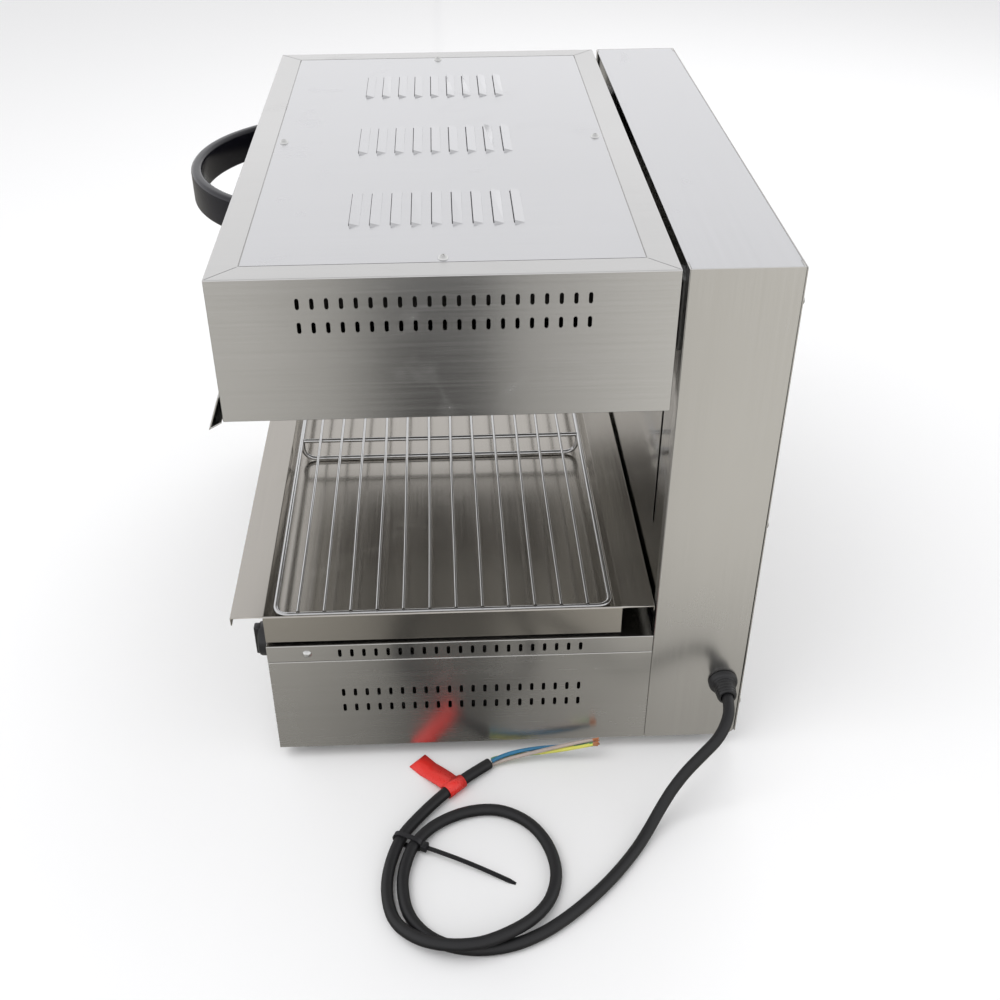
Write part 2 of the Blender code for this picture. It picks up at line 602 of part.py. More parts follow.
def build_lift_guides():
    bright = finish("guide_rod_chrome", BRIGHT, 0.15, 1.0)
    low = FLOOR_TOP + TOUCH
    high = COLUMN_TOP_FACE - TOUCH
    for side, sign in (("right", 1), ("left", -1)):
        x = sign * LIFT_X
        rod("guide_rod_" + side, (x, ROD_Y, low), high - low, ROD_RADIUS, "Z", bright)
        bracket_x = sign * (CHAIN_X + 0.016)
        bracket = box(
            "shaft_bracket_" + side, (bracket_x - 0.0015, SHAFT_Y - 0.012, SHAFT_Z - 0.013),
            (bracket_x + 0.0015, SHAFT_Y + 0.012, high), finish("bracket_" + side, GALVANISED, 0.5, 1.0))
        bore = [((bracket_x - 0.01, SHAFT_Y, SHAFT_Z), 0.02, SHAFT_RADIUS + SHAFT_CLEARANCE, "X")]
        boolean(bracket, cutter("bracket_bore_" + side, rods=bore))
        build_chain(side, sign)
        spin = axis_empty("idler_axis_" + side, (sign * CHAIN_X, SHAFT_Y, IDLER_Z))
        bm = bmesh.new()
        start = (sign * CHAIN_X - CHAIN_WIDTH / 2, SHAFT_Y, IDLER_Z)
        add_rod(bm, start, CHAIN_WIDTH, SPROCKET_RADIUS, "X", 24, origin=start)
        zinc = finish("idler_" + side, GALVANISED, 0.4, 1.0)
        wheel = add_object("chain_idler_" + side, bm, zinc, start, spin, True)
        wheel_bore = [((start[0] - 0.01, SHAFT_Y, IDLER_Z), 0.03, SHAFT_RADIUS + SHAFT_CLEARANCE, "X")]
        boolean(wheel, cutter("idler_bore_" + side, rods=wheel_bore))
    axle_half = CHAIN_X + CHAIN_WIDTH / 2 + 0.004
    axle = rod(
        "idler_axle", (-axle_half, SHAFT_Y, IDLER_Z), 2 * axle_half, SHAFT_RADIUS, "X",
        finish("idler_axle_steel", BRIGHT, 0.3, 1.0))
    feet = []
    for sign in (-1, 1):
        x = sign * (CHAIN_X - FOOT_GAUGE)
        feet.append(((x - AXLE_FOOT / 2, SHAFT_Y - AXLE_FOOT, low),
                     (x + AXLE_FOOT / 2, SHAFT_Y + AXLE_FOOT, IDLER_Z)))
    boolean(axle, cutter("axle_feet", feet), "UNION")


def build_chain(side, sign):
    """A closed loop of chain round the upper sprocket and the lower idler."""
    inner = SPROCKET_RADIUS + TOUCH
    outer = inner + CHAIN_BAND
    x = sign * CHAIN_X
    bm = bmesh.new()
    rings = []
    for radius in (outer, inner):
        upper = arc((SHAFT_Y, SHAFT_Z), radius, 0, 180, 12)
        lower = arc((SHAFT_Y, IDLER_Z), radius, 180, 360, 12)
        rings.append([bm.verts.new((x - CHAIN_WIDTH / 2, y, z)) for y, z in upper + lower])
    loops = []
    for ring in rings:
        loops += [bm.edges.new((a, b)) for a, b in zip(ring, ring[1:] + ring[:1])]
    band = bmesh.ops.bridge_loops(bm, edges=loops)["faces"]
    out = bmesh.ops.extrude_face_region(bm, geom=band)
    moved = [v for v in out["geom"] if isinstance(v, bmesh.types.BMVert)]
    bmesh.ops.translate(bm, vec=(CHAIN_WIDTH, 0, 0), verts=moved)
    bmesh.ops.recalc_face_normals(bm, faces=bm.faces[:])
    add_object("lift_chain_" + side, bm, finish("chain_" + side, DARK_STEEL, 0.4, 1.0), smooth=True)


def build_lift_shaft():
    axis = axis_empty("lift_shaft_axis", (0, SHAFT_Y, SHAFT_Z))
    half = CHAIN_X + 0.0215
    bright = finish("lift_shaft_steel", BRIGHT, 0.25, 1.0)
    rod("lift_shaft", (-half, SHAFT_Y, SHAFT_Z), 2 * half, SHAFT_RADIUS, "X", bright, axis)
    for side, sign in (("right", 1), ("left", -1)):
        start = (sign * CHAIN_X - CHAIN_WIDTH / 2, SHAFT_Y, SHAFT_Z)
        bm = bmesh.new()
        add_rod(bm, start, CHAIN_WIDTH, SPROCKET_RADIUS, "X", 24, origin=start)
        zinc = finish("sprocket_" + side, GALVANISED, 0.4, 1.0)
        wheel = add_object("sprocket_" + side, bm, zinc, start, axis, True)
        bore = [((start[0] - 0.01, SHAFT_Y, SHAFT_Z), 0.03, SHAFT_RADIUS + TOUCH, "X")]
        boolean(wheel, cutter("sprocket_bore_" + side, rods=bore))


def build_counterweight():
    axis = axis_empty("counterweight_axis", (0, SHAFT_Y, IDLER_Z))
    low_z = IDLER_Z + 0.032
    width, depth, height = WEIGHT_SIZE
    low = (-width / 2, SHAFT_Y - depth / 2, low_z)
    high = (width / 2, SHAFT_Y + depth / 2, low_z + height)
    block = box("counterweight", low, high, finish("cast_iron_weight", (0.08, 0.08, 0.085), 0.7, 0.6), axis)
    rear = SHAFT_Y + SPROCKET_RADIUS + 2 * TOUCH + CHAIN_BAND
    lugs = [((-CHAIN_X - 0.007, rear, low_z + 0.015), (CHAIN_X + 0.007, rear + 0.004, low_z + 0.045))]
    boolean(block, cutter("weight_lugs", lugs), "UNION")


# ---------------------------------------------------------------- hood
def build_hood():
    axis = axis_empty("hood_axis", (0, HOOD_MID, HOOD_BOTTOM))
    skirt_shell(axis)
    top_panel(axis)
    build_liner(axis)
    build_handle(axis)
    build_deflector(axis)
    for side, sign in (("right", 1), ("left", -1)):
        build_element(side, sign, axis)
        build_carriage(side, sign, axis)


def skirt_shell(axis):
    middle = (0, HOOD_MID, (HOOD_BOTTOM + BODY_HEIGHT) / 2)
    bm = bmesh.new()
    add_box(bm, (-HALF_WIDTH, HOOD_FRONT, HOOD_BOTTOM), (HALF_WIDTH, HOOD_REAR, BODY_HEIGHT), middle)
    top = [f for f in bm.faces if side_of(f) == "+Z"]
    bottom = [f for f in bm.faces if side_of(f) == "-Z"]
    bmesh.ops.inset_individual(bm, faces=top, thickness=HOOD_FRAME, use_even_offset=True)
    step = bmesh.ops.extrude_face_region(bm, geom=top)
    lowered = [f for f in step["geom"] if isinstance(f, bmesh.types.BMFace)]
    bmesh.ops.translate(bm, vec=(0, 0, -SHEET - TOUCH), verts=lowered[0].verts[:])
    bmesh.ops.delete(bm, geom=top, context="FACES_ONLY")
    bmesh.ops.inset_individual(bm, faces=lowered, thickness=HOOD_LEDGE, use_even_offset=True)
    bmesh.ops.inset_individual(bm, faces=bottom, thickness=HOOD_LIP, use_even_offset=True)
    bmesh.ops.delete(bm, geom=lowered + bottom, context="FACES")
    skirt = thicken(add_object("hood_skirt", bm, steel("hood_skirt"), middle, axis))
    heights = [BODY_HEIGHT - drop for drop in HOOD_SLOT_DROPS]
    boolean(skirt, slot_cutter("hood_slots", HOOD_MID, heights))


def top_panel(axis):
    edge = HOOD_FRAME + PANEL_GAP
    panel = box(
        "hood_top_panel", (-HALF_WIDTH + edge, HOOD_FRONT + edge, BODY_HEIGHT - SHEET),
        (HALF_WIDTH - edge, HOOD_REAR - edge, BODY_HEIGHT), steel("hood_top_panel"), axis)
    ramps = bmesh.new()
    cuts = []
    for row in (-1, 0, 1):
        for i in range(LOUVRE_COUNT):
            x = row * LOUVRE_ROW_PITCH
            y = HOOD_MID + (i - (LOUVRE_COUNT - 1) / 2) * LOUVRE_PITCH
            half = LOUVRE_LENGTH / 2
            front = y - LOUVRE_DEPTH
            verts = add_box(
                ramps, (x - half, front, BODY_HEIGHT - SHEET / 2), (x + half, y, BODY_HEIGHT + LOUVRE_RISE))
            for vert in [v for v in verts if v.co.z > BODY_HEIGHT]:
                vert.co.x -= math.copysign(LOUVRE_END, vert.co.x - x)
                if vert.co.y > y - LOUVRE_DEPTH / 2:
                    vert.co.z -= LOUVRE_RISE * 0.9
            mouth = half - LOUVRE_END
            cuts.append(((x - mouth, front + 0.0002, BODY_HEIGHT - 0.01),
                         (x + mouth, front + LOUVRE_DEPTH * 0.4, BODY_HEIGHT + LOUVRE_RISE * 0.25)))
            cuts.append(((x - mouth, front - 0.001, BODY_HEIGHT + TOUCH / 2),
                         (x + mouth, front + LOUVRE_DEPTH * 0.2, BODY_HEIGHT + LOUVRE_RISE * 0.6)))
    boolean(panel, add_object("louvre_ramps", ramps, None), "UNION")
    boolean(panel, cutter("louvre_mouths", cuts))
    inset = HOOD_FRAME + 0.008
    places = [((0, HOOD_FRONT + inset, BODY_HEIGHT), 1), ((0, HOOD_REAR - inset, BODY_HEIGHT), 1)]
    places += [((s * (HALF_WIDTH - inset), HOOD_MID, BODY_HEIGHT), 1) for s in (-1, 1)]
    screw_heads(panel, places, "Z")


def build_liner(axis):
    middle = (0, HOOD_MID, LINER_BOTTOM)
    bm = bmesh.new()
    add_box(bm, (-LINER_HALF, LINER_FRONT, LINER_BOTTOM), (LINER_HALF, LINER_REAR, LINER_ROOF), middle)
    mouth = [f for f in bm.faces if side_of(f) == "-Z"]
    rim = mouth[0].edges[:]
    bmesh.ops.delete(bm, geom=mouth, context="FACES_ONLY")
    out = bmesh.ops.extrude_edge_only(bm, edges=rim)
    grown = [v for v in out["geom"] if isinstance(v, bmesh.types.BMVert)]
    flange = LINER_INSET - SHEET - 2 * TOUCH
    for vert in grown:
        vert.co.x += math.copysign(flange, vert.co.x)
        vert.co.y += math.copysign(flange, vert.co.y)
    mirror = finish("reflector_steel", BRIGHT, 0.2, 1.0)
    liner = thicken(add_object("heat_reflector", bm, mirror, middle, axis))
    holes = [((s * LINER_HALF - 0.006, y, ELEMENT_Z), 0.012, BUSHING_RADIUS + TOUCH, "X")
             for s in (-1, 1) for y in (element_row(0), element_row(ELEMENT_PASSES - 1))]
    boolean(liner, cutter("bushing_holes", rods=holes))
    low = (BLANKET_INSET - LINER_HALF, LINER_FRONT + BLANKET_INSET, LINER_ROOF + TOUCH)
    high = (LINER_HALF - BLANKET_INSET, LINER_REAR - BLANKET_INSET, LINER_ROOF + BLANKET_THICKNESS)
    box("insulation_blanket", low, high, finish("insulation_wool", (0.7, 0.68, 0.6), 0.95, 0.0), axis)
    hung = LINER_ROOF - SHEET - TOUCH
    front = LINER_FRONT + SUPPORT_INSET
    rear = LINER_REAR - SUPPORT_INSET
    folded = [(front, hung), (front, support_z()), (rear, support_z()), (rear, hung)]
    for name, x in (("element_support_right", SUPPORT_X), ("element_support_left", -SUPPORT_X)):
        zinc = finish(name + "_steel", GALVANISED, 0.5, 1.0)
        strip = folded_strip(name, folded, SUPPORT_HALF_WIDTH, zinc, axis)
        strip.location.x = x - axis.location.x


def support_z():
    return ELEMENT_Z - ELEMENT_RADIUS - TOUCH


def element_row(index):
    return HOOD_MID + (index - (ELEMENT_PASSES - 1) / 2) * ELEMENT_PITCH


def build_element(side, sign, axis):
    """A sheathed tube with four long passes joined by three half turns."""
    outer = LINER_HALF + 0.014
    bend = ELEMENT_PITCH / 2
    points = [(outer, element_row(0))]
    near = 0.016 + bend
    far = LINER_HALF - 0.020 - bend
    points += arc((near, (element_row(0) + element_row(1)) / 2), bend, 270, 90, 8)
    points += arc((far, (element_row(1) + element_row(2)) / 2), bend, -90, 90, 8)
    points += arc((near, (element_row(2) + element_row(3)) / 2), bend, 270, 90, 8)
    points.append((outer, element_row(ELEMENT_PASSES - 1)))
    world = [(sign * x, y, ELEMENT_Z) for x, y in points]
    sheath = finish("element_" + side, (0.16, 0.15, 0.15), 0.5, 0.9)
    tube = wire("heating_element_" + side, world, ELEMENT_RADIUS, sheath, axis)
    bushings = bmesh.new()
    for y in (element_row(0), element_row(ELEMENT_PASSES - 1)):
        add_rod(bushings, (sign * LINER_HALF - 0.006, y, ELEMENT_Z), 0.012, BUSHING_RADIUS, "X", 16)
    boolean(tube, add_object("element_bushings_" + side, bushings, None), "UNION")


def build_handle(axis):
    """An arched strap standing out from the hood's front, its ends flat against the sheet."""
    radius = (HANDLE_HALF_SPAN ** 2 + HANDLE_REACH ** 2) / (2 * HANDLE_REACH)
    face = HOOD_FRONT - TOUCH
    centre_y = HOOD_FRONT - HANDLE_REACH + radius
    outer_end = math.degrees(math.acos((centre_y - face) / radius))
    inner_radius = radius - HANDLE_THICKNESS
    inner_end = math.degrees(math.acos((centre_y - face) / inner_radius))
    outline = arc((0, centre_y), radius, 270 - outer_end, 270 + outer_end, 28)
    outline += arc((0, centre_y), inner_radius, 270 + inner_end, 270 - inner_end, 28)
    high = BODY_HEIGHT - HANDLE_TOP_DROP
    handle = outline_solid(
        "hood_handle", outline, high - HANDLE_HEIGHT, high, plastic("hood_handle"), axis, (0, HOOD_FRONT))
    round_off = handle.modifiers.new("round", "BEVEL")
    round_off.width = 0.0028
    round_off.segments = 2
    round_off.limit_method = "ANGLE"
    round_off.angle_limit = math.radians(50)


def build_deflector(axis):
    """The sloping lip folded out along the hood's bottom front edge."""
    face = HOOD_FRONT - TOUCH
    profile = [(face, HOOD_BOTTOM + DEFLECTOR_RISE), (face - DEFLECTOR_REACH, HOOD_BOTTOM - DEFLECTOR_DROP),
               (face - 0.0015, HOOD_BOTTOM)]
    folded_strip("hood_deflector", profile, HALF_WIDTH, steel("hood_deflector"), axis, -1.0)


def build_carriage(side, sign, axis):
    """A flange on the hood's rear wall, a web through the column's slot and a block on the guide rod."""
    x = sign * LIFT_X
    wall = HOOD_REAR + TOUCH
    block_front = ROD_Y - CARRIAGE_DEPTH / 2
    web = LIFT_WEB / 2
    wide = CARRIAGE_WIDTH / 2
    low = (x - wide, block_front, CARRIAGE_BOTTOM)
    high = (x + wide, block_front + CARRIAGE_DEPTH, CARRIAGE_TOP)
    zinc = finish("carriage_" + side, GALVANISED, 0.45, 1.0)
    carriage = box("lift_carriage_" + side, low, high, zinc, axis)
    inset = 0.001
    low = (x - web, wall + inset, CARRIAGE_BOTTOM + inset)
    web_box = [(low, (x + web, block_front + inset, CARRIAGE_TOP - inset))]
    boolean(carriage, cutter("carriage_web_" + side, web_box), "UNION")
    flange = [((x - wide, wall, CARRIAGE_BOTTOM), (x + wide, wall + 0.0025, CARRIAGE_TOP))]
    boolean(carriage, cutter("carriage_flange_" + side, flange), "UNION")
    strand = SHAFT_Y - SPROCKET_RADIUS - CHAIN_BAND - 2 * TOUCH
    inner = CHAIN_X - CHAIN_WIDTH / 2
    span = sorted((sign * inner, x - sign * wide * 0.8))
    clamp = [((span[0], strand - 0.004, CARRIAGE_BOTTOM + 0.012), (span[1], strand, CARRIAGE_BOTTOM + 0.034))]
    boolean(carriage, cutter("chain_clamp_" + side, clamp), "UNION")
    bore = [((x, ROD_Y, CARRIAGE_BOTTOM - 0.01), CARRIAGE_HEIGHT + 0.02, ROD_RADIUS + ROD_CLEARANCE, "Z")]
    boolean(carriage, cutter("carriage_bore_" + side, rods=bore))


# ---------------------------------------------------------------- tray and rack
def build_tray():
    axis = axis_empty("tray_axis", (0, BASE_FRONT, TRAY_FLOOR))
    middle = (0, (BASE_FRONT + TRAY_REAR) / 2, TRAY_FLOOR)
    bm = bmesh.new()
    add_box(bm, (-TRAY_HALF, BASE_FRONT, TRAY_FLOOR), (TRAY_HALF, TRAY_REAR, TRAY_RIM - SHEET), middle)
    lid = [f for f in bm.faces if side_of(f) == "+Z"]
    rim = lid[0].edges[:]
    bmesh.ops.delete(bm, geom=lid, context="FACES_ONLY")
    for sign, reach, drop in ((-1, TRAY_FRONT_LIP, 0.0075), (1, TRAY_REAR_LIP, 0.004)):
        edge = [e for e in rim if all(v.co.y * sign > 0 for v in e.verts)]
        flat = bmesh.ops.extrude_edge_only(bm, edges=edge)
        verts = [g for g in flat["geom"] if isinstance(g, bmesh.types.BMVert)]
        bmesh.ops.translate(bm, vec=(0, sign * reach, 0), verts=verts)
        edge = [g for g in flat["geom"] if isinstance(g, bmesh.types.BMEdge)
                and all(v in verts for v in g.verts)]
        turned = bmesh.ops.extrude_edge_only(bm, edges=edge)
        verts = [g for g in turned["geom"] if isinstance(g, bmesh.types.BMVert)]
        bmesh.ops.translate(bm, vec=(0, 0, -drop), verts=verts)
    thicken(add_object("drip_tray", bm, finish("tray_steel", BRIGHT, 0.18, 1.0), middle, axis))
    build_rack(axis)


def rounded_loop(half_u, half_v, radius, steps=4):
    """(u, v) points of a rounded rectangle about its middle."""
    out = []
    for turn, (su, sv) in enumerate(((1, 1), (-1, 1), (-1, -1), (1, -1))):
        centre = (su * (half_u - radius), sv * (half_v - radius))
        out += arc(centre, radius, 90 * turn, 90 * turn + 90, steps)
    return out


def build_rack(tray_axis):
    floor_top = TRAY_FLOOR + SHEET + TOUCH
    frame_z = floor_top + RACK_WIRE + RACK_LEG
    mid_y = (BASE_FRONT + TRAY_REAR) / 2
    half_x = TRAY_HALF - SHEET - RACK_SIDE_GAP
    half_y = TRAY_LENGTH / 2 - SHEET - RACK_END_GAP
    axis = axis_empty("rack_axis", (0, mid_y, frame_z), tray_axis)
    chrome = finish("rack_chrome", (0.8, 0.8, 0.82), 0.1, 1.0)
    loop = [(u, mid_y + v, frame_z) for u, v in rounded_loop(half_x, half_y, 0.012)]
    rack = wire("wire_rack", loop, RACK_WIRE, chrome, axis, closed=True)
    brace_top = frame_z - RACK_WIRE - TOUCH
    bend_z = frame_z - RACK_LEG + BRACE_BEND
    reach = half_y - 0.001
    side_x = half_x - BRACE_BEND
    for name, x in (("right", side_x), ("middle", 0), ("left", -side_x)):
        front_bend = arc((mid_y - reach + BRACE_BEND, bend_z), BRACE_BEND, 180, 270, 4)
        rear_bend = arc((mid_y + reach - BRACE_BEND, bend_z), BRACE_BEND, 270, 360, 4)
        profile = [(mid_y - reach, brace_top), *front_bend, *rear_bend, (mid_y + reach, brace_top)]
        wire("rack_brace_" + name, [(x, y, z) for y, z in profile], RACK_BRACE_WIRE, chrome, axis)
    cross = bmesh.new()
    add_rod(cross, (0, mid_y - half_y, frame_z), 2 * half_y, RACK_BRACE_WIRE, "Y", 8)
    boolean(rack, add_object("rack_cross_wire", cross, None), "UNION")
    thin = bmesh.new()
    thin_z = frame_z + RACK_WIRE + RACK_THIN_WIRE - 0.0006
    pitch = (2 * half_y - 0.042) / (RACK_WIRES - 1)
    for i in range(RACK_WIRES):
        y = mid_y + (i - (RACK_WIRES - 1) / 2) * pitch
        add_rod(thin, (-half_x - 0.001, y, thin_z), 2 * half_x + 0.002, RACK_THIN_WIRE, "X", 6)
    boolean(rack, add_object("rack_thin_wires", thin, None), "UNION")


# ---------------------------------------------------------------- supply and cord
CORD_SPACING = 0.0205
CORE_SPACING = 0.012
CORD_LIE = CORD_RADIUS + TOUCH         # height of the cord's centre where it lies on the floor
TIE_BAND = 0.0013
TIE_SLACK = 0.0008
FLAG_SLACK = 0.0010
FLAG_SHEET = 0.0005
TIE_LIE = CORD_RADIUS + TIE_BAND + TIE_SLACK  # the same inside the tie, which lies under it
FLAG_LIE = CORD_RADIUS + FLAG_SLACK + FLAG_SHEET + TOUCH
TIE_NEAR = (0.1130, -0.2887)
TIE_FAR = (0.1070, -0.3014)
FLAG_PLACE = (0.0485, -0.2527)
CORD_ROUTE = [
    (0.0110, 0.0, GLAND_Z),
    (0.0190, 0.0, GLAND_Z),
    (0.0245, 0.0, GLAND_Z),
    (0.0394, -0.0021, 0.0832),
    (0.0518, -0.0077, 0.0783),
    (0.0612, -0.0162, 0.0709),
    (0.0676, -0.0282, 0.0606),
    (0.0745, -0.0432, 0.0465),
    (0.0830, -0.0567, 0.0320),
    (0.0945, -0.0690, 0.0185),
    (0.1095, -0.0812, 0.0090),
    (0.1280, -0.0952, CORD_LIE),
    (0.1520, -0.1152, CORD_LIE),
    (0.1730, -0.1362, CORD_LIE),
    (0.1930, -0.1602, CORD_LIE),
    (0.2080, -0.1832, CORD_LIE),
    (0.2180, -0.2082, CORD_LIE),
    (0.2210, -0.2352, CORD_LIE),
    (0.2160, -0.2612, CORD_LIE),
    (0.2030, -0.2812, CORD_LIE),
    (0.1820, -0.2947, CORD_LIE),
    (0.1550, -0.2992, CORD_LIE),
    (0.1340, -0.2967, 0.0066),
    (*TIE_NEAR, TIE_LIE),
    (0.0920, -0.2702, 0.0064),
    (0.0780, -0.2422, CORD_LIE),
    (0.0770, -0.2132, CORD_LIE),
    (0.0910, -0.1882, CORD_LIE),
    (0.1150, -0.1722, CORD_LIE),
    (0.1450, -0.1662, CORD_LIE),
    (0.1720, -0.1722, 0.0060),
    (0.1940, -0.1872, 0.0095),
    (0.2120, -0.2092, 0.0150),
    (0.2230, -0.2352, 0.0172),
    (0.2230, -0.2622, 0.0165),
    (0.2120, -0.2862, 0.0115),
    (0.1920, -0.3047, 0.0065),
    (0.1650, -0.3122, CORD_LIE),
    (0.1370, -0.3107, 0.0066),
    (*TIE_FAR, TIE_LIE),
    (0.0830, -0.2857, 0.0064),
    (0.0590, -0.2642, FLAG_LIE),
    (0.0380, -0.2412, FLAG_LIE),
    (0.0200, -0.2192, CORD_LIE),
]
CORE_ROUTE = [
    (0.0175, -0.2137, 0.0068),
    (0.0140, -0.2002, 0.0085),
    (0.0125, -0.1752, 0.0120),
    (0.0125, -0.1482, 0.0165),
    (0.0135, -0.1202, 0.0220),
]


def build_supply():
    low = (HALF_WIDTH - TERMINAL_INSET - TERMINAL_SIZE[0], SHAFT_Y, FLOOR_TOP + TOUCH)
    high = [corner + size for corner, size in zip(low, TERMINAL_SIZE)]
    box("terminal_block", low, high, finish("terminal_ceramic", (0.82, 0.8, 0.75), 0.5, 0.0))
    bm = bmesh.new()
    face = HALF_WIDTH + TOUCH
    place = (face, GLAND_Y, GLAND_Z)
    add_rod(bm, (HALF_WIDTH - 0.014, GLAND_Y, GLAND_Z), 0.016, 0.0074, "X", 24, origin=place)
    gland = add_object("cable_gland", bm, finish("gland_nylon", BLACK, 0.4, 0.0), place, smooth=True)
    flange = bmesh.new()
    add_rod(flange, place, 0.0045, GLAND_RADIUS, "X", 28, GLAND_RADIUS * 0.88)
    boolean(gland, add_object("gland_flange", flange, None), "UNION")
    neck = bmesh.new()
    add_rod(neck, (face + 0.002, GLAND_Y, GLAND_Z), GLAND_TIP - face - 0.002, 0.0108, "X", 28, 0.0086)
    boolean(gland, add_object("gland_neck", neck, None), "UNION")
    bore = [((HALF_WIDTH + 0.0095, GLAND_Y, GLAND_Z), 0.05, CORD_RADIUS + CORD_CLEARANCE, "X")]
    boolean(gland, cutter("gland_bore", rods=bore))


def beside_gland(point):
    """A place given from the body's right face and the gland's middle plane."""
    return Vector((HALF_WIDTH + point[0], GLAND_Y + point[1], point[2]))


def build_cord():
    rubber = finish("cord_rubber", RUBBER, 0.55, 0.0)
    route = smooth_route([beside_gland(point) for point in CORD_ROUTE], CORD_SPACING)
    wire("power_cord", route, CORD_RADIUS, rubber)
    build_tie()
    build_flag()
    build_conductors()


def build_tie():
    """A flat band round both strands, with its head and its tail lying across the loop."""
    near = beside_gland((*TIE_NEAR, 0))
    far = beside_gland((*TIE_FAR, 0))
    across = (near - far).normalized()
    along = Vector((-across.y, across.x, 0))
    inner_v = CORD_RADIUS + TIE_SLACK
    inner_u = (near - far).length / 2 + inner_v + TOUCH
    bm = bmesh.new()
    rings = []
    for grow in (TIE_BAND, 0.0):
        loop = rounded_loop(inner_u + grow, inner_v + grow, inner_v + grow - 0.0001, 5)
        rings.append([bm.verts.new((u, -TIE_WIDTH / 2, v)) for u, v in loop])
    loops = []
    for ring in rings:
        loops += [bm.edges.new((a, b)) for a, b in zip(ring, ring[1:] + ring[:1])]
    band = bmesh.ops.bridge_loops(bm, edges=loops)["faces"]
    out = bmesh.ops.extrude_face_region(bm, geom=band)
    moved = [v for v in out["geom"] if isinstance(v, bmesh.types.BMVert)]
    bmesh.ops.translate(bm, vec=(0, TIE_WIDTH, 0), verts=moved)
    bmesh.ops.recalc_face_normals(bm, faces=bm.faces[:])
    tie = add_object("cord_tie", bm, finish("tie_nylon", BLACK, 0.35, 0.0))
    edge = inner_u + TIE_BAND
    head = cutter("tie_head", [((edge - 0.0006, -0.0035, -0.003), (edge + 0.0048, 0.0035, 0.0035))])
    tail = cutter("tie_tail", [((edge + 0.0030, -0.0020, -0.0008), (edge + TIE_TAIL, 0.0020, 0.0004))])
    frame = Matrix((across, along, (0, 0, 1))).transposed().to_4x4()
    place = Matrix.Translation(((near.x + far.x) / 2, (near.y + far.y) / 2, inner_v + TIE_BAND))
    for obj in (tie, head, tail):
        obj.matrix_world = place @ frame
    boolean(tie, head, "UNION")
    boolean(tie, tail, "UNION")


def build_flag():
    """A label folded round the cord and stuck to itself, lying towards the body."""
    middle = beside_gland((*FLAG_PLACE, FLAG_LIE))
    along = Vector((-0.67, 0.74, 0)).normalized()
    away = Vector((-along.y, along.x, 0)).normalized()
    inner = CORD_RADIUS + FLAG_SLACK
    bm = bmesh.new()
    add_rod(bm, (0, 0, -FLAG_WIDTH / 2), FLAG_WIDTH, inner + FLAG_SHEET, "Z", 20)
    flag = add_object("cord_flag", bm, finish("flag_vinyl", (0.75, 0.03, 0.02), 0.35, 0.0))
    blade = cutter("flag_blade", [((inner - 0.0004, -0.0004, -FLAG_WIDTH / 2 + 0.0001),
                                   (FLAG_LENGTH, 0.0004, FLAG_WIDTH / 2 - 0.0001))])
    bore = cutter("flag_bore", rods=[((0, 0, -FLAG_WIDTH), 2 * FLAG_WIDTH, inner, "Z")])
    frame = Matrix((away, away.cross(along) * -1, along)).transposed().to_4x4()
    for obj in (flag, blade, bore):
        obj.matrix_world = Matrix.Translation(middle) @ frame
    boolean(flag, blade, "UNION")
    boolean(flag, bore)


def build_conductors():
    """Three insulated cores fanning a little as they leave the sheath."""
    colours = {"blue": (0.05, 0.30, 0.55), "earth": (0.55, 0.60, 0.08), "brown": (0.40, 0.33, 0.30)}
    core_gap = CONDUCTOR_RADIUS * 1.17 + TOUCH
    route = smooth_route([beside_gland(point) for point in CORE_ROUTE], CORE_SPACING)
    for i, (name, colour) in enumerate(colours.items()):
        points = []
        for j, point in enumerate(route):
            angle = 2 * math.pi * i / 3 + 0.10 * j + 0.9
            points.append(point + Vector((math.cos(angle), 0, math.sin(angle))) * core_gap)
        wire("conductor_" + name, points, CONDUCTOR_RADIUS, finish("core_" + name, colour, 0.4, 0.0))


build_base()
build_controls()
build_column()
build_lift_guides()
build_lift_shaft()
build_counterweight()
build_hood()
build_tray()
build_supply()
build_cord()
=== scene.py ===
import math
import random
import bmesh
import bpy
from mathutils import Matrix, Vector


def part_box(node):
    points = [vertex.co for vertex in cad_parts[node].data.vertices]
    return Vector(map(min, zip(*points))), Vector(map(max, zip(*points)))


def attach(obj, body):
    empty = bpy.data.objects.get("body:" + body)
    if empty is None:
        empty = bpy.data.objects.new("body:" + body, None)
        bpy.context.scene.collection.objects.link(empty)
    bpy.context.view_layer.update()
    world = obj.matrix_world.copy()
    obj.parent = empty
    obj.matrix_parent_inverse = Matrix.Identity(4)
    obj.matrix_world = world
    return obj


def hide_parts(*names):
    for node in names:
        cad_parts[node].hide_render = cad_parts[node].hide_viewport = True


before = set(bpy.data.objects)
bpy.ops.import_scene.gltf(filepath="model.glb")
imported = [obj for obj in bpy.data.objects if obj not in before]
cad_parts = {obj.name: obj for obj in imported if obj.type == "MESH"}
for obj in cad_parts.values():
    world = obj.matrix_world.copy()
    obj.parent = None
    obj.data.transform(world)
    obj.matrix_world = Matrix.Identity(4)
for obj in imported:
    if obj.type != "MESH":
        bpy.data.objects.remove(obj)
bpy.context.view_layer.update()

scene = bpy.context.scene
random.seed(7)
print("frame loaded")


# ---- camera, floor and light

cameraFacts = {"place": (1.1173, -0.0193, 0.8734), "azimuth": 88.27, "elevation": 35.11, "roll": -0.549,
               "lens": 43.53, "shift": 0.02}


